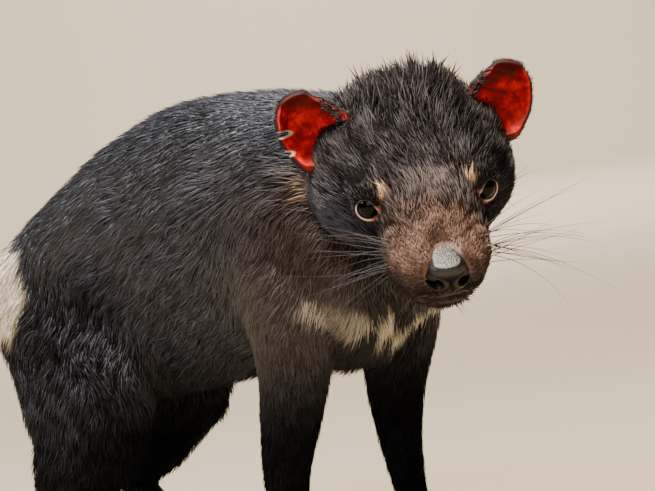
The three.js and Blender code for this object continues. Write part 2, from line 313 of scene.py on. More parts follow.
def ball_grid(rows, columns):
    """A ball of radius 1 on a grid whose poles lie on the first axis: the sine of the latitude, and its
    cosine times the cosine and sine of the longitude. The poles themselves are left to the fans."""
    lat = np.linspace(-np.pi / 2, np.pi / 2, rows + 2)[1:-1, None]
    lon = np.linspace(0, 2 * np.pi, columns, endpoint=False)
    return np.stack([np.sin(lat) + 0 * lon, np.cos(lat) * np.cos(lon), np.cos(lat) * np.sin(lon)], axis=-1)


def joined_arrays(parts):
    """Several sets of points and faces as one set."""
    points, quads, triangles, count = [], [], [], 0
    for part_points, part_quads, part_triangles in parts:
        points.append(part_points)
        quads.append(part_quads + count)
        triangles.append(part_triangles + count)
        count += len(part_points)
    return np.concatenate(points), np.concatenate(quads), np.concatenate(triangles)


def mesh_object(name, points, quads=None, triangles=None):
    """A mesh object at the origin from arrays of points in millimetres and of faces."""
    mesh = bpy.data.meshes.new(name)
    kinds = [faces for faces in (quads, triangles) if faces is not None and len(faces)]
    corners = np.concatenate([faces.ravel() for faces in kinds]).astype(np.int32)
    sizes = np.concatenate([np.full(len(faces), faces.shape[1]) for faces in kinds])
    mesh.vertices.add(len(points))
    mesh.vertices.foreach_set("co", to_world(points).astype(np.float32).ravel())
    mesh.loops.add(len(corners))
    mesh.loops.foreach_set("vertex_index", corners)
    mesh.polygons.add(len(sizes))
    mesh.polygons.foreach_set("loop_start", np.concatenate([[0], np.cumsum(sizes)[:-1]]).astype(np.int32))
    mesh.polygons.foreach_set("use_smooth", np.ones(len(sizes), dtype=bool))
    mesh.update(calc_edges=True)
    thing = bpy.data.objects.new(name, mesh)
    bpy.context.scene.collection.objects.link(thing)
    return thing


def set_attribute(thing, name, values):
    """One number for each point, kept on the mesh under a name that the materials read."""
    attribute = thing.data.attributes.new(name, "FLOAT", "POINT")
    attribute.data.foreach_set("value", np.asarray(values, dtype=np.float32))


def frozen(thing):
    """The object with its modifiers applied to its mesh."""
    shown = thing.evaluated_get(bpy.context.evaluated_depsgraph_get())
    mesh = bpy.data.meshes.new_from_object(shown)
    thing.modifiers.clear()
    old = thing.data
    thing.data = mesh
    bpy.data.meshes.remove(old)
    mesh.polygons.foreach_set("use_smooth", np.ones(len(mesh.polygons), dtype=bool))
    return thing


def mesh_points(mesh):
    """A mesh's points in millimetres of the animal's frame."""
    flat = np.empty(len(mesh.vertices) * 3, dtype=np.float32)
    mesh.vertices.foreach_get("co", flat)
    return flat.reshape(-1, 3).astype(float) / MM - OFFSET


def mesh_triangles(mesh):
    """A mesh's faces as triangles of point numbers."""
    mesh.calc_loop_triangles()
    flat = np.empty(len(mesh.loop_triangles) * 3, dtype=np.int32)
    mesh.loop_triangles.foreach_get("vertices", flat)
    return flat.reshape(-1, 3)


def mesh_normals(mesh):
    """The normals at a mesh's points."""
    flat = np.empty(len(mesh.vertices) * 3, dtype=np.float32)
    mesh.vertices.foreach_get("normal", flat)
    return flat.reshape(-1, 3).astype(float)


# Forms of the body: each is a sweep with the lie, length and depth of the coat on it
def mirrored(station, side):
    """A station of the left side on the asked side."""
    return (station[0], station[1] * side, *station[2:])


def head_bulges():
    """Brows, whisker pads and cheeks stand out, and the eyes lie in hollows."""
    brow, pad = ((18, 34, 22), 11, 3.5), ((60, 20, -20), 11, 3.5)
    socket, cheek = ((38, 38, 6), 9, -3.5), ((-5, 55, -18), 18, 3)
    pairs = (brow, pad, socket, cheek)
    return [(np.array(at) * (1, side, 1), reach, height) for at, reach, height in pairs for side in (1, -1)]


def form(name, stations, lie=1.0, droop=0.0, depth=4.5, length=15.0, lift=18.0, head=False, **shape):
    """One form of the body and its coat: which way the hair runs along it, how much it hangs, the coat's
    depth, and the hair's length and its lift in degrees. The rest goes to its sweep."""
    coat = dict(lie=lie, droop=droop, depth=depth, length=length, lift=lift)
    return dict(name=name, stations=stations, head=head, shape=shape, **coat)


def foreleg_form(side, word):
    """A front leg, from the shoulder down to the wrist. The right one is set further back."""
    y = side * FORE_STANCE
    back = 20 if side < 0 else 0
    reach = 0 if side < 0 else 14
    stations = (
        (94 + reach, y * 0.86, 226, 27, 38, 38),
        (94 + reach, y * 0.96, 186, 27, 34, 36),
        (90 + reach * 0.8, y * 0.96, 148, 26, 29, 31),
        (86 + reach * 0.3 - back * 0.3, y * 0.94, 110, 21, 24, 25),
        (84 - back * 0.7, y, 70, 16, 18, 19),
        (86 - back, y, 28, 13, 13.5, 13.5),
    )
    shape = dict(crown=(1, 0, 0), domes=(12, 8))
    return form(f"foreleg_{word}", stations, droop=0.2, depth=3.0, length=10.0, lift=15.0, **shape)


def thigh_form(side, word):
    """A thigh, from the hip down to the knee."""
    kx, ky, kz = HIND[side]["knee"]
    stations = (
        (-154, 34, 200, 32, 50, 54),
        ((kx - 150) / 2 - 6, 44, 160, 34, 52, 74),
        (kx - 16, ky - 2, kz + 16, 32, 45, 78),
        (kx - 8, ky, kz - 8, 27, 34, 66),
    )
    stations = [mirrored(station, side) for station in stations]
    shape = dict(crown=(1, 0, 0), domes=(22, 12))
    return form(f"thigh_{word}", stations, droop=0.5, depth=7.0, length=15.0, **shape)


def shank_form(side, word):
    """A shank, from the knee back to the hock."""
    knee, hock = HIND[side]["knee"], HIND[side]["hock"]
    mid = [(a + b) / 2 for a, b in zip(knee, hock)]
    stations = (
        (knee[0] - 8, knee[1], knee[2] + 2, 28, 30, 54),
        (mid[0] - 6, mid[1], mid[2] + 1, 28, 31, 52),
        (hock[0] + 6, hock[1], hock[2] + 4, 20, 22, 30),
    )
    stations = [mirrored(station, side) for station in stations]
    shape = dict(crown=(1, 0, 0), domes=(10, 10))
    return form(f"shank_{word}", stations, droop=0.2, depth=4.0, length=12.0, **shape)


def heel_form(side, word):
    """The back of a hind foot, from the hock to the ball of the foot."""
    hock, (bx, by), lift = HIND[side]["hock"], HIND[side]["ball"], HIND[side]["lift"]
    stations = (
        (hock[0] - 2, side * hock[1], hock[2] - 8 * (1 - lift), 13, 14, 14),
        ((hock[0] + bx) / 2, side * hock[1], (hock[2] + 12) / 2, 13, 13, 13),
        (bx, side * by, 12, 14, 11, 12),
    )
    shape = dict(domes=(10, 6), rows=16, columns=32)
    return form(f"heel_{word}", stations, depth=1.6, length=6.0, lift=12.0, **shape)


def paw_layout(kind, side):
    """Where a paw stands, its length, width, count of toes and heel."""
    if kind == "fore":
        back = 20 if side < 0 else 0
        return 89 - back, side * FORE_STANCE, 30, 18, 5, 14
    bx, by = HIND[side]["ball"]
    return bx, side * by, 32, 17, 4, 4


def toe_line(kind, side, number):
    """The spread, root, reach and tip of one toe."""
    x, y, length, width, toes, _ = paw_layout(kind, side)
    spread = 2 * number / (toes - 1) - 1
    reach = length + 3 - 5 * spread * spread
    return spread, x, reach, y + spread * width * 0.74, y + spread * width * 1.02


def paw_forms(kind, side, word):
    """The palm and the toes of one paw."""
    x, y, length, width, toes, heel = paw_layout(kind, side)
    palm = (
        (x - heel, y, 12, 11, 12, 12),
        (x, y, 12, 14.5, 13, 12),
        (x + length * 0.55, y, 10, width, 10, 10),
        (x + length * 0.8, y, 8, width * 0.9, 7.5, 8),
    )
    name = f"{kind}paw_{word}"
    forms = [form(name, palm, depth=1.2, length=5.0, lift=10.0, domes=(7, 5), rows=12, columns=28)]
    toe_shape = dict(domes=(2, 3), rows=8, columns=16, caps=3)
    for number in range(toes):
        _, x, reach, root, tip = toe_line(kind, side, number)
        r = TOE_RADIUS
        toe = (
            (x + reach * 0.5, root, 6, r, r + 1, 6),
            (x + reach * 0.85, (root + tip) / 2, 6, r, r + 0.6, 6),
            (x + reach + 3, tip, 4.6, r - 0.5, r - 0.6, 4.6),
        )
        forms.append(form(name, toe, depth=0.6, length=3.6, lift=10.0, **toe_shape))
    return forms


def body_forms():
    """Every form of flesh, from the trunk to the toes."""
    trunk = dict(domes=(24, 16), columns=64)
    neck = dict(domes=(8, 8), columns=64)
    skull = dict(rows=90, columns=96, domes=(14, 8), bulges=head_bulges())
    tail = dict(domes=(6, 7), columns=32)
    forms = [
        form("torso", TRUNK, lie=-1.0, droop=0.6, depth=4.5, length=19.0, lift=15.0, **trunk),
        form("neck", NECK, lie=-1.0, droop=0.5, depth=4.5, length=15.5, lift=17.0, **neck),
        form("head", SKULL, lie=-1.0, depth=2.5, length=10.5, lift=13.0, head=True, **skull),
        form("tail", TAIL, depth=4.0, length=14.0, **tail),
    ]
    for word, side in SIDES.items():
        forms += [make(side, word) for make in (foreleg_form, thigh_form, shank_form, heel_form)]
        forms += paw_forms("fore", side, word) + paw_forms("hind", side, word)
    return forms


# How the coat lies: each point of the skin belongs to the forms that it lies on
def form_reading(one, points, samples=28):
    """For each point: a weight, which is a bell curve of its distance from the form's surface, then the
    fraction along the form, the turn around it and the direction of its spine there."""
    stations, shape = one["stations"], one["shape"]
    at = np.linspace(0, 1, samples)
    centre, along, side, up = spine_frames(stations, at, shape.get("crown", (0, 0, 1)))
    size = spline(np.array(stations, dtype=float)[:, 3:], at)
    gap = points[:, None] - centre[None]
    nearest = np.argmin(np.sum(gap**2, axis=-1), axis=1)
    offset = points - centre[nearest]
    ahead = np.sum(offset * along[nearest], axis=-1)
    across = np.sum(offset * side[nearest], axis=-1)
    above = np.sum(offset * up[nearest], axis=-1)
    wide = size[nearest, 0]
    tall = np.where(above > 0, size[nearest, 1], size[nearest, 2])
    radial = np.hypot(across / wide, above / tall)
    push = np.array(shape.get("domes", (8, 8)), dtype=float)
    cap = np.where(ahead < 0, push[0], push[1])
    beyond = np.where((nearest == 0) | (nearest == samples - 1), np.abs(ahead) / cap, 0)
    distance = np.abs(np.hypot(radial, beyond) - 1) * np.minimum(wide, tall)
    return bell(distance, 9.0) + 1e-9, at[nearest], np.arctan2(above, across), along[nearest]


def coat_field(forms, points, normals):
    """For each point: the lie of the hair in the skin, the form it belongs to, and how it reads on that
    form. Lie, length and lift are means of the forms' own, by weight, and the place along and round is the
    nearest form's."""
    lie = np.zeros_like(points)
    keep = {key: np.zeros(len(points)) for key in ("length", "lift", "at", "turn")}
    best = np.zeros(len(points))
    owner = np.zeros(len(points), dtype=int)
    total = np.zeros(len(points))
    for number, one in enumerate(forms):
        stations = np.array(one["stations"], dtype=float)
        reach = stations[:, 3:].max() + 30
        low, high = stations[:, :3].min(0) - reach, stations[:, :3].max(0) + reach
        local = body_to_head(points) if one["head"] else points
        near = np.all((local > low) & (local < high), axis=1)
        weight, at, turn, along = form_reading(one, local[near])
        if one["head"]:
            along = along @ HEAD_FRAME.T
        flow = along * one["lie"] + np.array([0, 0, -one["droop"]])
        lie[near] += flow * weight[:, None]
        keep["length"][near] += one["length"] * weight
        keep["lift"][near] += one["lift"] * weight
        total[near] += weight
        wins = weight > best[near]
        chosen = np.flatnonzero(near)[wins]
        best[chosen] = weight[wins]
        owner[chosen] = number
        keep["at"][chosen] = at[wins]
        keep["turn"][chosen] = turn[wins]
    for key in ("length", "lift"):
        keep[key] /= np.maximum(total, 1e-9)
    return pressed(unit(lie), normals), owner, keep


def chest_band(x, y, z, hx, uneven):
    """How much each point lies on the cream band across the chest: within a half height of a line that
    rises to both sides, broken by a dark gap right of the middle, and only on the front below the head."""
    out = np.abs(y)
    middle = np.where(y < 0, 158 + 21 * (out / 63) ** 1.6, 151 + 13 * (out / 62) ** 2)
    half = np.where(y < 0, 8.4, 5.5) * (1 - 0.5 * np.clip(out / 66, 0, 1) ** 4)
    half -= 7 * bell(y + 22, 4.5)
    band = 1 - smoothstep(0.7, 1.35, np.abs(z - middle + uneven) / np.maximum(half, 0.5))
    return band * smoothstep(84, 96, x) * (1 - smoothstep(57, 65, out)) * (1 - smoothstep(-30, 0, hx))


def rump_patch(points, uneven):
    """How much each point lies on the white patch of the rump: an oval that leans forward and down, on each
    side."""
    x, y, z = points.T
    along = (x + 167) * 0.5 - (z - 205) * 0.87
    across = (x + 167) * 0.87 + (z - 205) * 0.5
    reach = np.hypot(along / 33, across / (31 + 0.12 * along)) + uneven * 0.05 + 0.08 * waver(points, 30, 9)
    return (1 - smoothstep(0.86, 1.1, reach)) * smoothstep(20, 34, np.abs(y))


def markings(points):
    """The marks that skin and coat share, each from 0 to 1: white on chest and rump, warm brown on face and
    shoulders, bare on the muzzle, gold over the eyes, dark under the jaw as painted shade, matt on head and
    legs, and low down, where the coat is darkened as painted shade."""
    head = body_to_head(points)
    uneven = waver(points, 16, 3) * 2.5
    x, y, z = points.T
    hx, hy, hz = head.T
    spot = from_pair(head, BROW_SPOT) + 0.9 * (hy > 0)
    cheek = from_pair(head, CHEEK_SPOT)
    warm = 0.35 + 0.3 * smoothstep(24, 48, hx) + 0.5 * (1 - smoothstep(4, 14, cheek))
    warm *= smoothstep(-60, -30, hx)
    warm += 0.3 * smoothstep(30, 100, x) * (1 - smoothstep(250, 290, z)) * (1 - smoothstep(-30, 20, hx))
    behind = 1 - smoothstep(-100, -70, x)
    haunch = (1 - smoothstep(-60, -20, x)) * smoothstep(35, 55, np.abs(y)) * (1 - smoothstep(200, 235, z))
    above_jaw = smoothstep(-70, -50, hz)
    dull = (
        smoothstep(-55, -15, hx) * above_jaw,
        1 - smoothstep(90, 185, z),
        0.9 * haunch,
        0.85 * smoothstep(-95, -72, hx) * above_jaw,
    )
    brow = 1 - smoothstep(2.4, 6.0, spot + uneven * 0.3)
    muzzle = smoothstep(44, 62, hx + uneven * 0.6) * smoothstep(-48, -30, hz + 0.25 * (hx - 60))
    found = {
        "white": np.maximum(chest_band(x, y, z, hx, uneven), rump_patch(points, uneven)),
        "warm": warm * smoothstep(90, 170, z),
        "bare": 0.9 * muzzle,
        "gold": np.maximum(brow, 0.15 * (1 - smoothstep(2, 10, cheek + uneven))),
        # Painted shade: how much the muzzle and chin are darkened under the jaw
        "under": smoothstep(-10, -30, hz) * smoothstep(30, 45, hx),
        "matt": np.max(dull, axis=0),
        # Painted shade: how low on the body the coat is darkened, as if in shadow; it also roughens the hair
        # and lets it hang
        "low": 1 - smoothstep(100, 185, z + 0.3 * np.abs(y) + 25 * behind),
    }
    return {name: np.clip(amount, 0, 1) for name, amount in found.items()}


# Materials
def linear(code):
    """An sRGB colour written in hexadecimal as the linear colour that shaders take."""
    levels = np.array([int(code[i : i + 2], 16) for i in (1, 3, 5)]) / 255
    low, high = levels / 12.92, ((levels + 0.055) / 1.055) ** 2.4
    return (*np.where(levels <= 0.04045, low, high).tolist(), 1.0)


def new_material(name, **values):
    """A material with its main shader's sockets set, and that shader."""
    material = bpy.data.materials.new(name)
    material.use_nodes = True
    shader = material.node_tree.nodes["Principled BSDF"]
    for socket, value in values.items():
        shader.inputs[socket.replace("_", " ")].default_value = value
    return material, shader


def add_node(material, kind, inputs=None, **settings):
    """One shader node with its settings, and its inputs set or linked."""
    node = material.node_tree.nodes.new(kind)
    for key, value in settings.items():
        setattr(node, key, value)
    for socket, value in (inputs or {}).items():
        join(material, value, node.inputs[socket])
    return node


def join(material, value, socket):
    """Links an output to a socket, or sets the socket to a value."""
    if isinstance(value, bpy.types.NodeSocket):
        material.node_tree.links.new(value, socket)
    else:
        socket.default_value = value


def read(material, name):
    """A number kept on the mesh under a name."""
    return add_node(material, "ShaderNodeAttribute", attribute_name=name).outputs["Fac"]


def mixed(material, amount, first, second):
    """Two colours mixed by an amount."""
    node = add_node(material, "ShaderNodeMix", data_type="RGBA")
    join(material, amount, node.inputs[0])
    join(material, first, node.inputs[6])
    join(material, second, node.inputs[7])
    return node.outputs[2]


def arithmetic(material, operation, first, second=0.0, third=0.0):
    """One sum on two numbers, or on three for a product and a sum."""
    inputs = {0: first, 1: second, 2: third}
    return add_node(material, "ShaderNodeMath", inputs, operation=operation).outputs[0]


def product(material, first, second):
    """Two numbers multiplied."""
    return arithmetic(material, "MULTIPLY", first, second)


def painted(material, base, steps):
    """A base colour with others laid over it in turn, each by the number kept on the mesh under its name."""
    for name, colour in steps:
        base = mixed(material, read(material, name), base, colour)
    return base


def noise(material, size, detail=2.0, roughness=0.5):
    """An uneven pattern whose lumps are about the given size in millimetres, in the mesh's own
    coordinates."""
    place = add_node(material, "ShaderNodeTexCoord").outputs["Object"]
    inputs = {"Vector": place, "Scale": 1 / (size * MM), "Detail": detail, "Roughness": roughness}
    return add_node(material, "ShaderNodeTexNoise", inputs).outputs["Fac"]


def bumped(material, shader, height, depth, strength):
    """Gives the shader small relief of the given depth in millimetres."""
    inputs = {"Height": height, "Distance": depth * MM, "Strength": strength}
    join(material, add_node(material, "ShaderNodeBump", inputs).outputs[0], shader.inputs["Normal"])


def coat_material(shape):
    """Glossy charcoal guard hair over a brown-black undercoat, with cream hair on chest and rump. The tips
    are paler than the roots, which shows the single locks, and face, legs and belly are matt. Low on the
    body the pale tips fade and the hair darkens, and the short hair under the jaw is darker, all as painted
    shade."""
    material, shader = new_material("black_fur", Roughness=0.4, IOR=1.5)
    tint, low = read(material, "tint"), read(material, "low")
    dark = mixed(material, tint, linear("#09090b"), shape.dark_hair)
    tip = product(material, read(material, "along"), tint)
    # Painted shade: the pale tips fade out low on the body
    tip = product(material, tip, arithmetic(material, "SUBTRACT", 1.0, low))
    dark = mixed(material, tip, dark, linear("#5c5e67"))
    brown = mixed(material, tint, linear("#16100e"), linear("#4f3f38"))
    brown = mixed(material, product(material, tip, 0.6), brown, linear("#8a7a70"))
    base = mixed(material, read(material, "warm"), dark, brown)
    # Painted shade: the hair darkened low on the body
    base = mixed(material, product(material, low, 0.4), base, linear("#040303"))
    short = mixed(material, tint, linear("#281b16"), linear("#86695a"))
    # Painted shade: the short muzzle hair darkened under the jaw
    short = mixed(material, read(material, "under"), short, linear("#251812"))
    cream = mixed(material, tint, linear("#e4d6b4"), shape.cream_hair)
    steps = (("bare", short), ("gold", linear("#c7a585")), ("white", cream))
    join(material, painted(material, base, steps), shader.inputs["Base Color"])
    gloss = arithmetic(material, "MULTIPLY_ADD", read(material, "matt"), -0.5, 0.55)
    join(material, gloss, shader.inputs["Specular IOR Level"])
    join(material, arithmetic(material, "MULTIPLY_ADD", low, 0.5, 0.4), shader.inputs["Roughness"])
    return material


def skin_material():
    """Skin under the coat: dark and matt, and pinkish brown, pored and slightly moist on the muzzle,
    darkened under the jaw as painted shade.
    """
    material, shader = new_material("skin", Roughness=0.5)
    mottle, fine = noise(material, 4.5, 3), noise(material, 1, 2)
    dark = mixed(material, fine, linear("#0a090a"), linear("#1a1819"))
    pink = mixed(material, mottle, linear("#2a1a14"), linear("#7c5546"))
    pink = mixed(material, product(material, fine, 0.6), pink, linear("#4a3127"))
    # Painted shade: the muzzle's skin darkened under the jaw
    pink = mixed(material, read(material, "under"), pink, linear("#2c1c17"))
    steps = (
        ("bare", pink),
        ("lips", linear("#1c1312")),
        ("gold", linear("#7d5f4b")),
        ("white", linear("#a8987a")),
        ("tear", linear("#a0665b")),
    )
    join(material, painted(material, dark, steps), shader.inputs["Base Color"])
    moist = arithmetic(material, "MULTIPLY_ADD", read(material, "bare"), 0.45, 0.04)
    join(material, moist, shader.inputs["Specular IOR Level"])
    bumped(material, shader, fine, 0.5, 0.6)
    return material


def put_material(thing, material):
    """Gives an object one material."""
    thing.data.materials.clear()
    thing.data.materials.append(material)


def finish_piece(thing, material, slot, *nodes):
    """The piece with its material, riding on the body and standing for its solids. Its slot is not used."""
    put_material(thing, material)
    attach(thing, "root")
    if nodes:
        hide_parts(*nodes)
    return thing


# The skin
def eye_frame(side):
    """The turn of an eye: its first axis looks out of the socket."""
    return turn_matrix(0, -6, side * EYE_AIM)


def eye_axes(head, side):
    """How far points of the head lie ahead of, across and above the middle of an eye."""
    return ((head - EYE_PLACE * (1, side, 1)) @ eye_frame(side)).T


def to_eye(grid, side):
    """A grid round an eye's middle in the animal's frame."""
    points = grid.reshape(-1, 3) @ eye_frame(side).T + EYE_PLACE * (1, side, 1)
    return head_to_body(points).reshape(grid.shape)


def cornerward(across, above, side):
    """How far a place lies from the middle of the eye towards its inner corner, which is low and near the
    nose."""
    return -side * across * INNER_CORNER[0] + above * INNER_CORNER[1]


def eye_opening(turns, side):
    """How far the lids' edge lies from the middle of the eye at each turn round it, in millimetres: rounded
    outside, straight from the top to the inner corner, and drawn out at that corner."""
    y, z = -side * np.cos(turns), np.sin(turns)
    corner = np.clip(cornerward(np.cos(turns), z, side), 0, 1)
    straight = np.clip(y * 0.62 + z * 0.78, 0, 1)
    return 5.75 + 2.1 * corner**10 - 0.7 * straight**4 + 0.2 * np.clip(-z, 0, 1)


def mouth_height(x):
    """How high the line of the mouth runs at each distance forward, in the head's own frame."""
    return np.interp(x, (24, 32, 40, 50, 58, 70, 92), (-23, -27.6, -31, -33.6, -35, -35.6, -35.6))


def socket_shape(head, side):
    """How one eye's socket moves the head's skin outward along the eye's own axis, in millimetres, and how
    much each point lies in the wet inner corner: a pit under the ball, and lids that fall off into the face
    round it."""
    ahead, across, above = eye_axes(head, side)
    radius = np.hypot(across, above)
    edge = radius - eye_opening(np.arctan2(above, across), side)
    high = smoothstep(0, 0.8, above / np.maximum(radius, 1))
    lid = 5.6 - (0.5 - 0.35 * high) * np.maximum(edge, 0)
    goal = 2.8 + (lid - 2.8) * smoothstep(-0.6, 0.4, edge)
    share = (1 - smoothstep(6.5 + 2 * high, 13.0 + 7 * high, radius)) * (ahead > -9 - 6 * high)
    inner = smoothstep(0.5, 0.95, cornerward(across, above, side) / np.maximum(radius, 1))
    tear = inner * (1 - smoothstep(3.0, 6.5, edge)) * (ahead > -6)
    return (goal - ahead) * share, tear


def face_shape(points, normals):
    """The head's skin worked in the head's own frame: the sockets of the eyes, the groove of the mouth
    between its lips, the whisker pads' small lumps and a shallow furrow up the bridge of the nose."""
    head = body_to_head(points)
    x, y, z = head.T
    shift, tear = np.zeros_like(points), np.zeros(len(points))
    for side in (1, -1):
        outward, inner = socket_shape(head, side)
        shift += outward[:, None] * eye_frame(side)[:, 0]
        tear = np.maximum(tear, inner)
    drop = z - mouth_height(x)
    lips = smoothstep(26, 34, x)
    moved = lips * (0.9 * bell(np.abs(drop) - 3.2, 2.0) - 2.2 * bell(drop, 1.3))
    pads = np.exp(-((x - 59) ** 2 + (np.abs(y) - 21) ** 2 + (z + 14) ** 2) / 160)
    moved += pads * 0.9 * np.cos(x * 1.9) * np.cos((z + 0.4 * x) * 1.7)
    bridge = smoothstep(26, 40, x) * (1 - smoothstep(50, 58, x)) * smoothstep(-6, 4, z)
    moved -= 0.9 * bell(y, 3.5) * bridge
    moved -= 4.0 * bell(y, 8.5, 4) * smoothstep(57, 67, x) * smoothstep(-14, -4, z)
    moved -= 7.5 * bell(x + 8, 28) * bell(y + 24, 24) * smoothstep(15, 35, z)
    bumps = np.cos(x * 1.5 + 0.6 * z) * np.cos(y * 1.4)
    bumps *= bell(x - 57, 9) * smoothstep(8, 14, np.abs(y))
    moved += 0.7 * bumps * smoothstep(-22, -12, z)
    marks = {"lips": lips * bell(drop, 2.0), "tear": tear}
    return points + normals * moved[:, None] + shift @ HEAD_FRAME.T, marks


def soft_group(thing, name, weights):
    """A vertex group whose weights are given to the nearest tenth."""
    group = thing.vertex_groups.new(name=name)
    levels = np.round(weights, 1)
    for level in np.unique(levels):
        group.add(np.flatnonzero(levels == level).tolist(), float(level), "REPLACE")


def modified(thing, name, kind, **settings):
    """Adds a modifier with its settings."""
    modifier = thing.modifiers.new(name, kind)
    for key, value in settings.items():
        setattr(modifier, key, value)


def make_skin(shape):
    """All the forms lie within their solids by the coat's depth, grown into one closed surface and
    smoothed."""
    parts = []
    for one in body_forms():
        grid = sweep(one["stations"], grow=-one["depth"], **one["shape"])
        if one["head"]:
            grid = head_to_body(grid.reshape(-1, 3)).reshape(grid.shape)
        parts.append(tube_arrays(grid))
    skin = mesh_object("skin", *joined_arrays(parts))
    modified(skin, "one_surface", "REMESH", mode="VOXEL", voxel_size=shape.skin_cell)
    frozen(skin)
    points = mesh_points(skin.data)
    x, y, z = points.T
    soft_group(skin, "body", (1 - smoothstep(-20, 10, body_to_head(points)[:, 0])) * smoothstep(20, 40, z))
    hips = smoothstep(-200, -150, x) * (1 - smoothstep(70, 110, x))
    soft_group(skin, "hips", hips * smoothstep(105, 140, z) * smoothstep(20, 45, np.abs(y)))
    modified(skin, "blended_hips", "SMOOTH", factor=0.9, iterations=420, vertex_group="hips")
    modified(skin, "soft_joints", "SMOOTH", factor=0.6, iterations=150, vertex_group="body")
    modified(skin, "even", "SMOOTH", factor=0.5, iterations=6)
    modified(skin, "fewer_faces", "DECIMATE", ratio=shape.skin_keep, vertex_group="body")
    frozen(skin)
    points, marks = face_shape(mesh_points(skin.data), mesh_normals(skin.data))
    skin.data.vertices.foreach_set("co", to_world(points).astype(np.float32).ravel())
    skin.data.update()
    for name, values in {**markings(points), **marks}.items():
        set_attribute(skin, name, values)
    nodes = list(FLESH) + [f"{limb}_{word}" for limb in LIMBS for word in SIDES]
    finish_piece(skin, skin_material(), "coat", *nodes)


# The coat
def scattered(skin, spacing, rng):
    """Points spread over the skin, about one to each square of the spacing, with their normals."""
    points, normals = mesh_points(skin.data), mesh_normals(skin.data)
    triangles = mesh_triangles(skin.data)
    a, b, c = (points[triangles[:, k]] for k in range(3))
    area = np.linalg.norm(np.cross(b - a, c - a), axis=1) / 2
    want = area / spacing(a / 3 + b / 3 + c / 3) ** 2
    count = int(want.sum())
    total = np.cumsum(want)
    picks = np.searchsorted(total, (np.arange(count) + rng.uniform(size=count)) / count * total[-1])
    picks = np.minimum(picks, len(triangles) - 1)
    u, v = rng.uniform(size=(2, count))
    fold = u + v > 1
    u, v = np.where(fold, 1 - u, u), np.where(fold, 1 - v, v)
    corners = triangles[picks]
    shares = np.stack([1 - u - v, u, v], axis=1)[..., None]
    return (points[corners] * shares).sum(axis=1), unit((normals[corners] * shares).sum(axis=1))


def tufts(name, roots, normals, lie, length, width, lift, curl, tint, patch):
    """Thin closed locks. Each is a three-sided section from a ring at the root, over a ring further along,
    to a point; its middle line leaves the skin at the lift and bends back along the lie. Each lock's patch
    lies at its root's place on the unwrapped form."""
    count = len(roots)
    side = np.cross(normals, lie)
    stops = np.array([[0.0, LOCK_RING, 1.0]])
    rise = np.sin(lift)[:, None]
    run = np.cos(lift)[:, None]
    forward = (length[:, None] * stops * run)[..., None] * lie[:, None]
    upward = (length[:, None] * rise * (stops - 0.35 * stops**2))[..., None] * normals[:, None]
    aside = (length[:, None] * curl[:, None] * stops**2)[..., None] * side[:, None]
    sink = np.minimum(0.7, 0.05 * length)[:, None, None]
    middle = roots[:, None] - normals[:, None] * sink + forward + upward + aside
    thick = np.array([0.75, 1.0])[None] * width[:, None] / 2
    left = middle[:, :2] + thick[..., None] * side[:, None]
    right = middle[:, :2] - thick[..., None] * side[:, None]
    crown = middle[:, :2] + thick[..., None] * normals[:, None] * 0.8
    rings = [ring[:, row] for row in (0, 1) for ring in (left, crown, right)]
    points = np.stack([*rings, middle[:, 2]], axis=1)
    faces = [(0, 2, 1)]
    for i, j in ((0, 1), (1, 2), (2, 0)):
        faces += [(i, j, 3 + j), (i, 3 + j, 3 + i), (3 + i, 3 + j, 6)]
    triangles = (np.array(faces)[None] + np.arange(count)[:, None, None] * LOCK_POINTS).reshape(-1, 3)
    thing = mesh_object(name, points.reshape(-1, 3), triangles=triangles)
    set_attribute(thing, "tint", np.repeat(tint, LOCK_POINTS))
    set_attribute(thing, "along", np.tile(np.repeat([0, LOCK_RING, 1.0], (3, 3, 1)), count))
    place = np.array([(-1, 0), (0, 0), (1, 0), (-1, LOCK_RING), (0, LOCK_RING), (1, LOCK_RING), (0, 1)])
    spots = patch[:, None] * 0.99 + 0.003 + (place * (0.0012, 0.0028))[None]
    layer = thing.data.uv_layers.new(name="OFBake")
    layer.data.foreach_set("uv", spots.reshape(-1, 2)[triangles.ravel()].astype(np.float32).ravel())
    return thing


def coat_region(forms, owner, at, turn):
    """The name of the coat piece that each root belongs to."""
    names = np.array([one["name"] for one in forms])[owner]
    names = np.where((names == "torso") & (at > 0.72), "shoulders", names)
    names = np.where((names == "torso") & (at > 0.38) & (turn > 0.5) & (turn < 2.6), "back", names)
    names = np.where((names == "torso") & (at > 0.38), "flanks", names)
    names = np.where((names == "torso") & (at <= 0.38), "rump", names)
    names = np.where((names == "head") & (at > 0.5), "face", names)
    names = np.where((names == "flanks") & (turn < 1.5), "flanks_left", names)
    for word in SIDES:
        names = np.where((names == f"shank_{word}") | (names == f"heel_{word}"), f"hindleg_{word}", names)
    return names


def coat_spacing(points):
    """How far apart the tufts stand, in millimetres: closer on the face and neck, wider on the belly and
    legs."""
    forward = body_to_head(points)[:, 0]
    lower = 1 - smoothstep(60, 130, points[:, 2])
    return 1.6 - 0.46 * smoothstep(-90, 0, forward) - 0.2 * smoothstep(36, 50, forward) + 0.3 * lower


def coat_pieces(prefix, names, arrays, marks, patch, material):
    """One piece of coat for each name: its tufts, its marks and its patch of the unwrapped skin."""
    for name in np.unique(names):
        chosen = names == name
        spread = patch[chosen]
        spread = (spread - spread.min(0)) / np.maximum(np.ptp(spread, axis=0), 1e-6)
        thing = tufts(f"{prefix}_{name}", *(array[chosen] for array in arrays), spread)
        for mark, amounts in marks.items():
            set_attribute(thing, mark, np.repeat(amounts[chosen], LOCK_POINTS))
        finish_piece(thing, material, "coat")


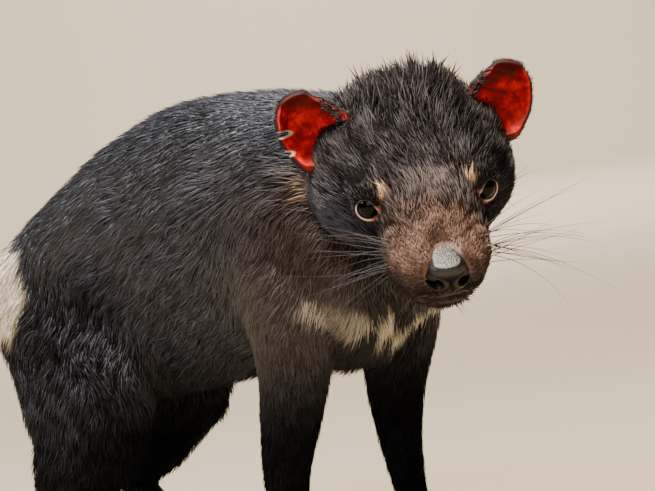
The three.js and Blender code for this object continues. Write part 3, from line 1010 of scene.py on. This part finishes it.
def bald_places(roots, normals, head):
    """Where no hair grows: the soles, the opening of each eye and its lids, the nose and the lips."""
    bald = (roots[:, 2] < 7) & (normals[:, 2] < -0.2)
    for side in (1, -1):
        ahead, across, above = eye_axes(head, side)
        radius = np.hypot(across, above)
        edge = radius - eye_opening(np.arctan2(above, across), side)
        inner = smoothstep(0.6, 0.95, cornerward(across, above, side) / radius)
        high = np.clip(above / np.maximum(radius, 1), 0, 1)
        bald |= (edge < 1.5 - 0.9 * high + 2.4 * inner) & (ahead > -4)
    nose = np.linalg.norm((head - NOSE_PLACE) / (NOSE_SIZE * (1, 0.86, 0.95) + 0.6), axis=1)
    lips = (np.abs(head[:, 2] - mouth_height(head[:, 0])) < 2.2) & (head[:, 0] > 32)
    return bald | (nose < 1.0) | lips


def hair_lie(lie, normals, roots, head, eyes, rng):
    """The lie of each lock: the form's own, turned aside by slow and quick waves, and fanned out round the
    eyes."""
    sideways = np.cross(normals, lie)
    swirl = waver(roots, 52, 5) * 0.28 + waver(roots, 15, 6) * 0.17 + rng.normal(size=len(roots)) * 0.14
    near_eye = np.sign(head[:, 1:2]) * EYE_PLACE * (0, 1, 0) + EYE_PLACE * (1, 0, 1)
    away = unit((head - near_eye) @ HEAD_FRAME.T) * bell(eyes - EYE_RADIUS, 5)[:, None]
    return pressed(unit(lie + sideways * swirl[:, None] + 1.6 * away), normals)


def hair_sizes(keep, marks, roots, normals, head, eyes, rng):
    """Each lock's length, width, lift and sideways curl: long on the crown, short round eyes and ears and
    on the bare muzzle, and hanging under the belly."""
    count = len(roots)
    hx, _, hz = head.T
    bare = marks["bare"]
    crown = smoothstep(-60, -15, hx) * (1 - smoothstep(-5, 26, hx)) * smoothstep(18, 42, hz)
    ear = from_pair(head, EAR_ROOT)
    chest = marks["white"] * smoothstep(60, 90, roots[:, 0])
    close = (0.28 + 0.72 * smoothstep(8, 19, eyes)) * (1 - 0.4 * chest)
    length = keep["length"] * rng.uniform(0.7, 1.25, count) * (1 - 0.62 * bare) * (1 + 1.0 * crown) * close
    length *= (1 - 0.65 * (1 - smoothstep(10, 20, ear))) * (1 + 0.4 * crown * waver(roots, 8, 12))
    hanging = 16 * marks["low"] * smoothstep(0.2, 0.8, -normals[:, 2])
    standing = 30 * crown * smoothstep(10, 20, ear)
    lift = np.radians(keep["lift"] * rng.uniform(0.5, 1.5, count) + hanging + standing + 12 * bare)
    width = (0.44 + 0.024 * length) * rng.uniform(0.75, 1.3, count) * (1 - 0.25 * bare)
    return length, width, lift, rng.normal(size=count) * 0.09


def hair_tint(marks, roots, head, rng):
    """How pale each lock is, from 0 to 1: by chance from lock to lock and from patch to patch, darker on the
    head and the nape, darker low down, on the belly and on the top of the haunch as painted shade, paler on
    the shoulder as painted light, and paler on the bridge of the nose, the jowls and the white marks."""
    x, y, z = roots.T
    hx, hy, hz = head.T
    bare = marks["bare"]
    on_head = smoothstep(-70, -20, hx)
    haunch = (1 - smoothstep(-75, -40, x)) * smoothstep(40, 60, np.abs(y)) * (1 - smoothstep(180, 225, z))
    belly = smoothstep(-80, -50, x) * (1 - smoothstep(40, 60, x)) * (1 - smoothstep(100, 150, z))
    nape = smoothstep(-100, -75, hx) * (1 - on_head) * smoothstep(230, 260, z)
    shoulder = smoothstep(30, 80, x) * smoothstep(150, 190, z) * (1 - on_head)
    bridge = bell(hx - 43, 11) * bell(hy, 17)
    jowl = smoothstep(30, 45, np.abs(hy)) * smoothstep(-50, -20, hx) * (1 - smoothstep(5, 20, hz))
    tint = 0.52 - 0.42 * on_head * (1 - bare) + (0.42 - 0.24 * on_head) * rng.normal(size=len(roots))
    tint += (0.4 - 0.22 * on_head) * waver(roots, 12, 8) + 0.2 * bare * waver(roots, 6, 10)
    # Painted shade low down, on the belly and on the top of the haunch; the nape is darker too
    tint -= 0.25 * marks["low"] + 0.32 * haunch * smoothstep(120, 160, z) + 0.4 * belly + 0.35 * nape
    # Painted light on the shoulder; the bridge, jowls and white marks are paler hair
    tint += 0.5 * shoulder + 0.4 * marks["white"] + 0.4 * bridge + 0.4 * jowl
    return np.clip(tint, 0, 1)


def make_coat(skin, shape):
    """The coat in pieces: locks that follow the lie of each form, shorter and closer on the face and
    feet."""
    rng = np.random.default_rng(7)
    forms = body_forms()
    roots, normals = scattered(skin, lambda points: coat_spacing(points) * shape.spacing, rng)
    marks = markings(roots)
    hairy = ~bald_places(roots, normals, body_to_head(roots))
    roots, normals = roots[hairy], normals[hairy]
    marks = {name: amounts[hairy] for name, amounts in marks.items()}
    head = body_to_head(roots)
    eyes = np.min([np.linalg.norm(head - EYE_PLACE * (1, side, 1), axis=1) for side in (1, -1)], axis=0)
    lie, owner, keep = coat_field(forms, roots, normals)
    lie = hair_lie(lie, normals, roots, head, eyes, rng)
    sizes = hair_sizes(keep, marks, roots, normals, head, eyes, rng)
    tint = hair_tint(marks, roots, head, rng)
    patch = np.stack([(keep["turn"] / (2 * np.pi)) % 1, keep["at"]], axis=1)
    names = coat_region(forms, owner, keep["at"], keep["turn"])
    coat_pieces("coat", names, (roots, normals, lie, *sizes, tint), marks, patch, coat_material(shape))


# The face
def make_eyes():
    """Dark wet balls with a rounded front, one in each socket."""
    # Nearly black and wet: the whole ball is iris, with one small sharp highlight
    wet = dict(Roughness=0.06, Specular_IOR_Level=0.11)
    material, _ = new_material("wet_eye", Base_Color=linear("#050303"), **wet)
    for word, side in SIDES.items():
        ball = to_eye(ball_grid(39, 64) * EYE_RADIUS, side)
        finish_piece(mesh_object(f"eyeball_{word}", *tube_arrays(ball)), material, "eye", f"eye_{word}")


def make_lids():
    """The bare edge of the lids: a thin rounded rim on each ball, widest below, with a pink inner corner."""
    # Moist bare skin: dark where it meets the ball, pale below, darkened above with painted shade from the
    # brow, pink in the corner
    material, shader = new_material("lid_skin", Roughness=0.42, Coat_Weight=0.2, Coat_Roughness=0.3)
    colour = mixed(material, read(material, "above"), linear("#d6b09a"), linear("#2e201a"))
    steps = (("corner", linear("#a8625a")), ("edge", linear("#2a1814")))
    join(material, painted(material, colour, steps), shader.inputs["Base Color"])
    turns = np.linspace(0, 2 * np.pi, 128, endpoint=False)
    profile = np.linspace(0, 1, 15)[:, None]
    z = np.sin(turns)
    for word, side in SIDES.items():
        corner = np.clip(cornerward(np.cos(turns), z, side), 0, 1) ** 8
        ring = eye_opening(turns, side)
        breadth = 2.2 + 0.8 * np.clip(-z, 0, 1) - 0.7 * np.clip(z, 0, 1) + 0.6 * corner
        wide = ring - 0.25 + profile * breadth
        ball = np.sqrt(np.maximum(EYE_RADIUS**2 - np.minimum(ring, EYE_RADIUS * 0.9) ** 2, 0))
        swell = 1.9 - 0.3 * corner - 0.5 * np.clip(z, 0, 1) ** 2
        x = ball - 0.35 - 1.2 * profile + swell * np.sin(np.pi * profile**0.8) ** 0.8
        grid = np.stack([x, np.cos(turns) * wide, z * wide], axis=-1)
        rows, columns = grid.shape[:2]
        points = to_eye(grid, side).reshape(-1, 3)
        thing = mesh_object(f"lid_{word}", points, quads=grid_quads(rows, columns))
        set_attribute(thing, "corner", np.tile(corner, rows))
        # Painted shade: how much the top of the rim is darkened, as if shadowed by the brow
        set_attribute(thing, "above", np.tile(smoothstep(-0.1, 0.6, z), rows))
        set_attribute(thing, "edge", np.repeat(1 - smoothstep(0.1, 0.3, profile[:, 0]), columns))
        finish_piece(thing, material, "paw_skin")


def ear_frame(side):
    """The turn of an ear: its third axis runs to the tip and its first faces out of the cup."""
    axis = unit(EAR_AXIS)
    across = unit(np.cross(axis, EAR_FACING))
    forward = np.cross(across, axis)
    turn = np.stack([forward, across, axis], axis=1)
    return turn, np.array([1, side, 1])


def ear_points(local, side):
    """Points of the left ear's own frame on either side of the head."""
    turn, flip = ear_frame(side)
    return head_to_body((np.asarray(local) @ turn.T + EAR_PLACE) * flip + (0, EARS_ASIDE, 0))


def ear_local(points, side):
    """Points of the animal's frame in the left ear's own frame."""
    turn, flip = ear_frame(side)
    return ((body_to_head(points) - (0, EARS_ASIDE, 0)) * flip - EAR_PLACE) @ turn


def ear_facing(normals, side):
    """How far directions of the animal's frame look out of the cup, across the ear and to its tip."""
    turn, flip = ear_frame(side)
    return (normals @ HEAD_FRAME * flip) @ turn


def ear_solid(name, grid, side):
    """A closed form from a grid of rings in the left ear's own frame."""
    points = ear_points(grid.reshape(-1, 3), side).reshape(grid.shape)
    return mesh_object(name, *tube_arrays(points[:, ::side]))


def cut_away(thing, other):
    """Cuts one solid out of another and removes it."""
    modified(thing, "cut", "BOOLEAN", operation="DIFFERENCE", object=other, solver="EXACT")
    frozen(thing)
    bpy.data.objects.remove(other)


def ear_material(shape):
    """Thin bare skin of the ear, blood red, brightened as a painted glow where light comes through and
    deepened to maroon as painted shade, with a dark furred back and rim.
    """
    material, shader = new_material("ear_skin", Roughness=0.7, Specular_IOR_Level=0.15)
    blotch = noise(material, 7, 4, roughness=0.65)
    spread = product(material, arithmetic(material, "SUBTRACT", blotch, 0.4), 3.6)
    # Painted light: the bright red is the glow of light shining through the ear
    red = mixed(material, spread, linear("#760404"), shape.ear_red_and_glow)
    # Painted shade: maroon where the ear lies in shadow
    red = mixed(material, read(material, "shade"), red, linear("#3a0a0a"))
    steps = (("inside", red), ("pale", linear("#c9a48c")))
    join(material, painted(material, linear("#2a1413"), steps), shader.inputs["Base Color"])
    bumped(material, shader, blotch, 1.5, 0.5)
    return material


def ear_wall(side):
    """The ear's thin wall as a mesh: a tall cup less its hollow and, on the right, less two notches in its
    edge."""
    h = EAR_HEIGHT
    cup = (
        (0, 2, -10, 15, 8, 8),
        (0, 2, 1, 21.5, 10, 9),
        (0, 1.5, h * 0.38, 20.5, 9, 8),
        (-1, -1, h * 0.68, 16.5, 7, 6.5),
        (-2, -4, h * 0.88, 10, 5, 4.5),
    )
    hollow = (
        (9, 2, -5, 10, 7, 7),
        (8, 2, 3, 18, 9, 13),
        (8, 1.5, h * 0.38, 18.8, 10, 14.2),
        (7, -1, h * 0.66, 14.7, 10, 12.7),
        (5, -4, h * 0.84, 10, 8, 9.6),
    )
    grids = [sweep(one, rows=60, columns=72, crown=(1, 0, 0), domes=(4, 4), caps=5) for one in (cup, hollow)]
    ear = ear_solid("ear_form", grids[0], side)
    cut_away(ear, ear_solid("hollow", grids[1], side))
    if side < 0:
        ball = np.roll(ball_grid(12, 24), -1, axis=-1) * NICK_SIZE
        tilt = np.array(Matrix.Rotation(np.arctan2(NICK_SLOPE[1], NICK_SLOPE[0]), 3, "X"))
        for across, up in NICKS:
            cut_away(ear, ear_solid("nick", ball @ tilt.T + (0, across, up), side))
    modified(ear, "even_wall", "REMESH", mode="VOXEL", voxel_size=EAR_CELL * MM)
    modified(ear, "soft_rim", "SMOOTH", iterations=6)
    return frozen(ear)


def near_nick(local, side):
    """How far points of the ear lie from the nearest notch of the right ear, where 1 is the notch's edge."""
    if side > 0:
        return np.full(len(local), 99.0)
    gaps = []
    for across, up in NICKS:
        y, z = local[:, 1] - across, local[:, 2] - up
        along = y * NICK_SLOPE[0] + z * NICK_SLOPE[1]
        over = z * NICK_SLOPE[0] - y * NICK_SLOPE[1]
        gaps.append(np.hypot(along / NICK_SIZE[1], over / NICK_SIZE[2]))
    return np.min(gaps, axis=0)


def ear_tufts(word, side, ear, material):
    """Short hair over the ear's back and rim, and long dark hair that stands in its front root."""
    rng = np.random.default_rng(21 + side)
    roots, normals = scattered(ear, lambda points: np.full(len(points), 1.05), rng)
    local = ear_local(roots, side)
    turn, flip = ear_frame(side)
    facing = ear_facing(normals, side)
    tip = HEAD_FRAME @ (turn[:, 2] * flip)
    outward = HEAD_FRAME @ (turn[:, 1] * flip)
    back = facing[:, 0] < 0.15
    front = (facing[:, 0] > 0.1) & (local[:, 1] < -13 - 0.1 * local[:, 2]) & (local[:, 2] < 24)
    chosen = (back | front) & (local[:, 2] > -4) & (near_nick(local, side) > 1.7)
    roots, normals, local, front = roots[chosen], normals[chosen], local[chosen], front[chosen]
    count = len(roots)
    lie = np.where(front[:, None], tip + outward * 0.7, tip + outward * 0.15)
    lie = pressed(lie + rng.normal(size=(count, 3)) * 0.18, normals)
    length = np.where(front, 6.0, 4.4) * rng.uniform(0.6, 1.3, count)
    width = np.where(front, 0.6, 0.42) * rng.uniform(0.8, 1.2, count)
    lift = np.radians(np.where(front, 42.0, 20.0) * rng.uniform(0.6, 1.4, count))
    curl = rng.normal(size=count) * 0.12
    tint = rng.uniform(0, 0.8, count)
    marks = {name: np.zeros(count) for name in ("white", "bare", "gold", "under", "low")}
    marks["matt"] = np.full(count, 0.8)
    marks["warm"] = np.full(count, 0.4)
    arrays = (roots, normals, lie, length, width, lift, curl, tint)
    coat_pieces("coat_ear", np.full(count, word), arrays, marks, local[:, 1:], material)


def make_ears(shape):
    """Both ears with their notches, colours and hair."""
    material, fur = ear_material(shape), bpy.data.materials["black_fur"]
    for word, side in SIDES.items():
        ear = ear_wall(side)
        ear.name = f"ear_{word}_skin"
        local = ear_local(mesh_points(ear.data), side)
        outward = ear_facing(mesh_normals(ear.data), side)[:, 0]
        across, up = local[:, 1], local[:, 2]
        wide = np.interp(up, (0, 14, 25, 32.5, 37), (21.5, 20.5, 16.5, 10, 3))
        edge = np.maximum(np.abs(across - 1) / wide, up / 38.5)
        inside = smoothstep(-0.1, 0.3, outward) * smoothstep(-6, 4, up) * (1 - smoothstep(0.9, 0.97, edge))
        # Painted shade: maroon over the upper inner rim, and on the left ear over a fold and, more faintly,
        # the whole ear
        shade = smoothstep(0.42, 0.74, up / EAR_HEIGHT * 0.75 - across / 38 + 0.06 * (side > 0))
        fold = bell(up - 17 - 0.3 * across, 1.6) * (1 - smoothstep(0, 8, across))
        shade = np.maximum(shade, (0.2 + 0.8 * fold) * (side > 0))
        set_attribute(ear, "inside", inside)
        set_attribute(ear, "shade", shade * 0.85)
        set_attribute(ear, "pale", 0.9 * (1 - smoothstep(1.2, 1.5, near_nick(local, side))))
        finish_piece(ear, material, "ear_skin", f"ear_{word}")
        ear_tufts(word, side, ear, fur)


def nose_material():
    """The wet leather of the nose: nearly black, finely pebbled, and shiny only on its flat top and round
    the rims."""
    film = dict(Coat_Weight=0.04, Coat_Roughness=0.25)
    material, shader = new_material("nose_leather", Roughness=0.36, IOR=1.5, **film)
    pebble = noise(material, 0.9, 2)
    colour = mixed(material, pebble, linear("#0b0605"), linear("#1a0f0b"))
    join(material, colour, shader.inputs["Base Color"])
    bumped(material, shader, pebble, 0.6, 0.7)
    join(material, product(material, read(material, "wet"), 0.55), shader.inputs["Specular IOR Level"])
    return material


def make_nose():
    """The bare wet nose: a broad rounded pad, flat on top, with a nostril on each side and a groove
    between."""
    grid = ball_grid(119, 160)
    front = grid[..., 0] > 0
    x, y, z = np.moveaxis(np.sign(grid) * np.abs(grid) ** 0.8 * NOSE_SIZE, -1, 0)
    y *= 0.88 - 0.34 * smoothstep(-4, 12, z)
    y *= 1 + 0.02 * x * smoothstep(0, 8, z)
    over = z - (9.6 - 0.16 * x)
    z -= 0.92 * (over + np.sqrt(over**2 + 0.3)) / 2
    for side in (1, -1):
        across, above = y * side - NOSTRIL[0], z - NOSTRIL[1]
        pit = np.hypot((across + above * 0.25) / 3.6, above / np.where(across > 0, 1.9, 2.9))
        slit = np.hypot((across - 4.5) / 3.4, (above - 0.6) / 1.1)
        x -= np.where(front, 6.5 * bell(pit, 1, 4) + 2.4 * bell(slit, 1), 0)
        x += np.where(front, 0.5 * bell(pit - 1.45, 0.35), 0)
    x -= np.where(front, 1.3 * bell(y, 0.8) * smoothstep(3, -4, z), 0)
    local = np.stack([x, y, z], axis=-1)
    surface = head_to_body(local.reshape(-1, 3) + NOSE_PLACE).reshape(local.shape)
    points, quads, triangles = tube_arrays(surface)
    nose = mesh_object("nose", points, quads, triangles)
    x, y, z = (body_to_head(points) - NOSE_PLACE).T
    pit = np.hypot((np.abs(y) - NOSTRIL[0]) / 3.6, (z - NOSTRIL[1]) / 2.5)
    wet = 0.06 + 0.94 * smoothstep(3, 7, z + 0.16 * x) + 0.5 * bell(pit - 1.7, 0.3)
    set_attribute(nose, "wet", wet * smoothstep(0.9, 1.3, pit))
    finish_piece(nose, nose_material(), "nose_skin", "nose_pad")


def strands(name, roots, directions, lengths, sag, thickness, rng, rings=12):
    """Long tapered hairs of five sides, each bending down along its length, and back where it would leave
    the width of the solids."""
    at = np.linspace(0, 1, rings)
    turns = np.arange(5) / 5 * 2 * np.pi
    down = np.array([0, 0, -1.0])
    parts = []
    for root, direction, length in zip(roots, directions, lengths):
        bend = rng.normal(size=3) * 0.12
        line = root + length * (at[:, None] * direction + at[:, None] ** 2 * (down * sag + bend))
        past = np.maximum(WHISKER_SIDE - line[:, 1], 0)
        line[:, 1] += past - WHISKER_BEND * np.tanh(past / WHISKER_BEND)
        along = unit(np.gradient(line, axis=0))
        side = unit(np.cross(along, np.array([0.3, 0.2, 1.0])))
        up = np.cross(side, along)
        radius = thickness * (1 - 0.85 * at)[:, None, None]
        ring = side[:, None] * np.cos(turns)[None, :, None] + up[:, None] * np.sin(turns)[None, :, None]
        parts.append(tube_arrays(line[:, None] + ring * radius))
    return mesh_object(name, *joined_arrays(parts))


def make_whiskers(skin):
    """Black whiskers on the pads beside the nose, on the chin, the cheeks and the brows."""
    rng = np.random.default_rng(11)
    # Stiff and smooth, so that each catches the light along one side
    material, _ = new_material("whisker", Base_Color=linear("#2e2725"), Roughness=0.3)
    world_points = to_world(mesh_points(skin.data)).tolist()
    tree = BVHTree.FromPolygons(world_points, mesh_triangles(skin.data).tolist())
    roots, directions, lengths = [], [], []
    back = {1: (0.30, 0.93, 0.06), -1: (-0.95, -0.22, 0.0)}
    groups = (
        (24, (56, 24, -14), (9, 5, 8), None, 84),
        (6, (52, 10, -42), (7, 6, 3), (0.3, 0.5, -0.8), 24),
        (4, (32, 24, 24), (3, 3, 2), (0.0, 0.35, 0.9), 26),
        (5, (-4, 56, -20), (5, 3, 6), (-0.7, 0.6, -0.2), 36),
    )
    for count, middle, spread, lean, length in groups:
        for side in (1, -1):
            for _ in range(count):
                shift = rng.uniform(-1, 1, 3)
                at = (np.array(middle) + shift * spread) * (1, side, 1)
                hit = tree.find_nearest(Vector(to_world(head_to_body(at))))[0]
                roots.append(np.array(hit) / MM - OFFSET)
                fan = rng.normal(size=3) * 0.12 + (0, 0, 0.32 * shift[2])
                if lean is None:
                    aim = unit(np.array(back[side]) + fan)
                else:
                    aim = unit(HEAD_FRAME @ ((np.array(lean) + fan) * (1, side, 1)))
                size = length * rng.uniform(0.45, 1.1)
                aim[0] = min(aim[0], (WHISKER_REACH - roots[-1][0]) / size)
                aim[1] = max(aim[1], (WHISKER_AIM - roots[-1][1]) / size)
                directions.append(unit(aim))
                lengths.append(size)
    finish_piece(strands("whiskers", roots, directions, lengths, 0.14, 0.26, rng), material, "coat")


def make_claws():
    """Horn claws, one on each toe, curving down to a point."""
    # Dark worn horn with a dull polish, so that the points show against the toes' hair
    material, _ = new_material("horn", Base_Color=linear("#4c4038"), Roughness=0.35)
    parts = []
    for kind in ("fore", "hind"):
        for side in SIDES.values():
            for number in range(paw_layout(kind, side)[4]):
                spread, x, reach, _, tip = toe_line(kind, side, number)
                stations = (
                    (x + reach + 1, tip, 6.2, 1.8, 2, 2),
                    (x + reach + CLAW_LENGTH * 0.6, tip + spread, 5.4, 1.3, 1.5, 1.5),
                    (x + reach + CLAW_LENGTH, tip + spread * 1.6, 2.2, 0.4, 0.5, 0.5),
                )
                parts.append(tube_arrays(sweep(stations, rows=14, columns=16, domes=(1, 0.6), caps=3)))
    finish_piece(mesh_object("claws", *joined_arrays(parts)), material, "paw_skin")


# The stage
def linked(name, data):
    """An object of the scene with its data."""
    thing = bpy.data.objects.new(name, data)
    bpy.context.scene.collection.objects.link(thing)
    return thing


def make_floor():
    """A pale floor away from the camera that turns up through a round corner into a wall."""
    path = [(forward, 0.0) for forward in range(FLOOR_NEAR, FLOOR_FAR, STAGE_STEP)]
    for angle in np.linspace(0, np.pi / 2, 25)[1:]:
        height = CORNER_RADIUS - CORNER_RADIUS * np.cos(angle)
        path.append((FLOOR_FAR + CORNER_RADIUS * np.sin(angle), height))
    for height in range(CORNER_RADIUS + STAGE_STEP, WALL_TOP + 1, STAGE_STEP):
        path.append((FLOOR_FAR + CORNER_RADIUS, height))
    path = np.array(path)
    # Along the ground, away from the camera and across its view
    away, across = np.array([-0.669, 0.743]), np.array([0.743, 0.669])
    spread = np.linspace(-STAGE_HALF_WIDTH, STAGE_HALF_WIDTH, 19)
    ground = path[:, None, :1] * away + spread[None, :, None] * across
    grid = np.concatenate([ground, np.broadcast_to(path[:, None, 1:], (*ground.shape[:2], 1))], axis=-1)
    floor = mesh_object("floor", grid.reshape(-1, 3), quads=grid_quads(*grid.shape[:2], closed=False))
    # Matt warm grey paper, which throws a soft light up on the belly and shows nothing of its own
    material, _ = new_material("pale_floor", Base_Color=linear("#a89c89"), Roughness=0.9)
    put_material(floor, material)


def make_lights():
    """A strong high light from over the right side, two broad soft ones, one on the wall, and a dim even
    sky."""
    lights = (
        ("sun", (200, -330, 2100), 420, 170.0, "#fff3e0", BODY_MIDDLE),
        ("front", (1100, -1300, 900), 900, 13.0, "#fff6ea", BODY_MIDDLE),
        ("side", (-900, -1300, 1500), 900, 44.0, "#e8eeff", BODY_MIDDLE),
        ("backdrop", (-1740, 1930, 2600), 1500, 420.0, "#fff6ea", (-3600, 4000, 500)),
    )
    for name, place, size, power, colour, target in lights:
        data = bpy.data.lights.new(name, "AREA")
        data.size = size * MM
        data.energy = power
        data.color = linear(colour)[:3]
        lamp = linked(name, data)
        lamp.location = Vector(to_world(place))
        aim = Vector(to_world(target)) - lamp.location
        lamp.rotation_euler = aim.to_track_quat("-Z", "Y").to_euler()
    world = bpy.data.worlds.new("studio")
    world.use_nodes = True
    world.node_tree.nodes["Background"].inputs["Color"].default_value = linear("#dfe3e6")
    world.node_tree.nodes["Background"].inputs["Strength"].default_value = 0.11
    bpy.context.scene.world = world


def make_camera():
    """The camera at the photograph's angle, tilt, distance and focal length."""
    data = bpy.data.cameras.new("camera")
    data.sensor_width = SENSOR_WIDTH
    data.lens = FOCAL_PIXELS / PHOTO_WIDTH * SENSOR_WIDTH
    data.clip_start, data.clip_end = 0.05, 20.0
    camera = linked("camera", data)
    turn, rise, roll = np.radians([CAMERA_TURN, CAMERA_RISE, CAMERA_ROLL])
    back = np.array([np.cos(rise) * np.cos(turn), -np.cos(rise) * np.sin(turn), np.sin(rise)])
    right = unit(np.cross([0, 0, 1.0], back))
    up = np.cross(back, right)
    tilted_right = right * np.cos(roll) - up * np.sin(roll)
    tilted_up = right * np.sin(roll) + up * np.cos(roll)
    matrix = Matrix(np.stack([tilted_right, tilted_up, back], axis=1).tolist()).to_4x4()
    matrix.translation = Vector(to_world(CAMERA_TARGET + CAMERA_DISTANCE * back))
    camera.matrix_world = matrix
    bpy.context.scene.camera = camera


def make_stage():
    """A pale floor, soft lights and the camera."""
    make_floor()
    make_lights()
    make_camera()


class DevilShape(PropertyGroup):
    """What can be changed about the animal."""

    skin_cell: FloatProperty(
        name="Skin cell",
        description="Size of the skin's cells",
        default=0.0014,
        subtype="DISTANCE",
        unit="LENGTH",
    )
    skin_keep: FloatProperty(
        name="Skin kept",
        description="Share of the body's faces kept",
        default=0.42,
        min=0,
        max=1,
        subtype="FACTOR",
    )
    spacing: FloatProperty(
        name="Tuft spacing", description="Multiplies the distance between tufts", default=1.0, min=0.5
    )
    dark_hair: FloatVectorProperty(
        name="Dark hair",
        description="Paler end of the charcoal",
        default=linear("#232429"),
        size=4,
        subtype="COLOR",
    )
    cream_hair: FloatVectorProperty(
        name="Cream hair",
        description="Paler end of the cream",
        default=linear("#fff9ec"),
        size=4,
        subtype="COLOR",
    )
    # Painted light: the bright red where light would shine through the ear
    ear_red_and_glow: FloatVectorProperty(
        name="Ear red",
        description="Where light comes through",
        default=linear("#dc1004"),
        size=4,
        subtype="COLOR",
    )


SETTINGS = ("skin_cell", "skin_keep", "spacing", "dark_hair", "cream_hair", "ear_red_and_glow")
STEPS = ("skin", "coat", "face", "claws", "stage")


class DEVIL_OT_skin(Operator):
    """Make the skin"""

    bl_idname = "devil.skin"
    bl_label = "Skin"

    def execute(self, context):
        make_skin(context.scene.devil_shape)
        return {"FINISHED"}


class DEVIL_OT_coat(Operator):
    """Make the coat over the skin"""

    bl_idname = "devil.coat"
    bl_label = "Coat"

    def execute(self, context):
        make_coat(bpy.data.objects["skin"], context.scene.devil_shape)
        return {"FINISHED"}


class DEVIL_OT_face(Operator):
    """Make the eyes, lids, ears, nose and whiskers"""

    bl_idname = "devil.face"
    bl_label = "Face"

    def execute(self, context):
        make_eyes()
        make_lids()
        make_ears(context.scene.devil_shape)
        make_nose()
        make_whiskers(bpy.data.objects["skin"])
        return {"FINISHED"}


class DEVIL_OT_claws(Operator):
    """Make the claws"""

    bl_idname = "devil.claws"
    bl_label = "Claws"

    def execute(self, context):
        make_claws()
        return {"FINISHED"}


class DEVIL_OT_stage(Operator):
    """Make the floor, lights and camera"""

    bl_idname = "devil.stage"
    bl_label = "Stage"

    def execute(self, context):
        make_stage()
        return {"FINISHED"}


class DEVIL_PT_panel(Panel):
    """The animal's settings and steps"""

    bl_label = "Tasmanian devil"
    bl_space_type = "VIEW_3D"
    bl_region_type = "UI"
    bl_category = "Devil"

    def draw(self, context):
        shape = context.scene.devil_shape
        for name in SETTINGS:
            self.layout.prop(shape, name)
        for step in STEPS:
            self.layout.operator(f"devil.{step}")


CLASSES = (
    DevilShape,
    DEVIL_OT_skin,
    DEVIL_OT_coat,
    DEVIL_OT_face,
    DEVIL_OT_claws,
    DEVIL_OT_stage,
    DEVIL_PT_panel,
)


def register():
    """Adds the add-on's classes and settings."""
    for one in CLASSES:
        bpy.utils.register_class(one)
    bpy.types.Scene.devil_shape = PointerProperty(type=DevilShape)


def unregister():
    """Takes the add-on's classes and settings away."""
    del bpy.types.Scene.devil_shape
    for one in reversed(CLASSES):
        bpy.utils.unregister_class(one)


def main():
    """Builds the animal step by step over the solids."""
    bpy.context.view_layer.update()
    register()
    for step in STEPS:
        getattr(bpy.ops.devil, step)()


if __name__ == "__main__":
    main()
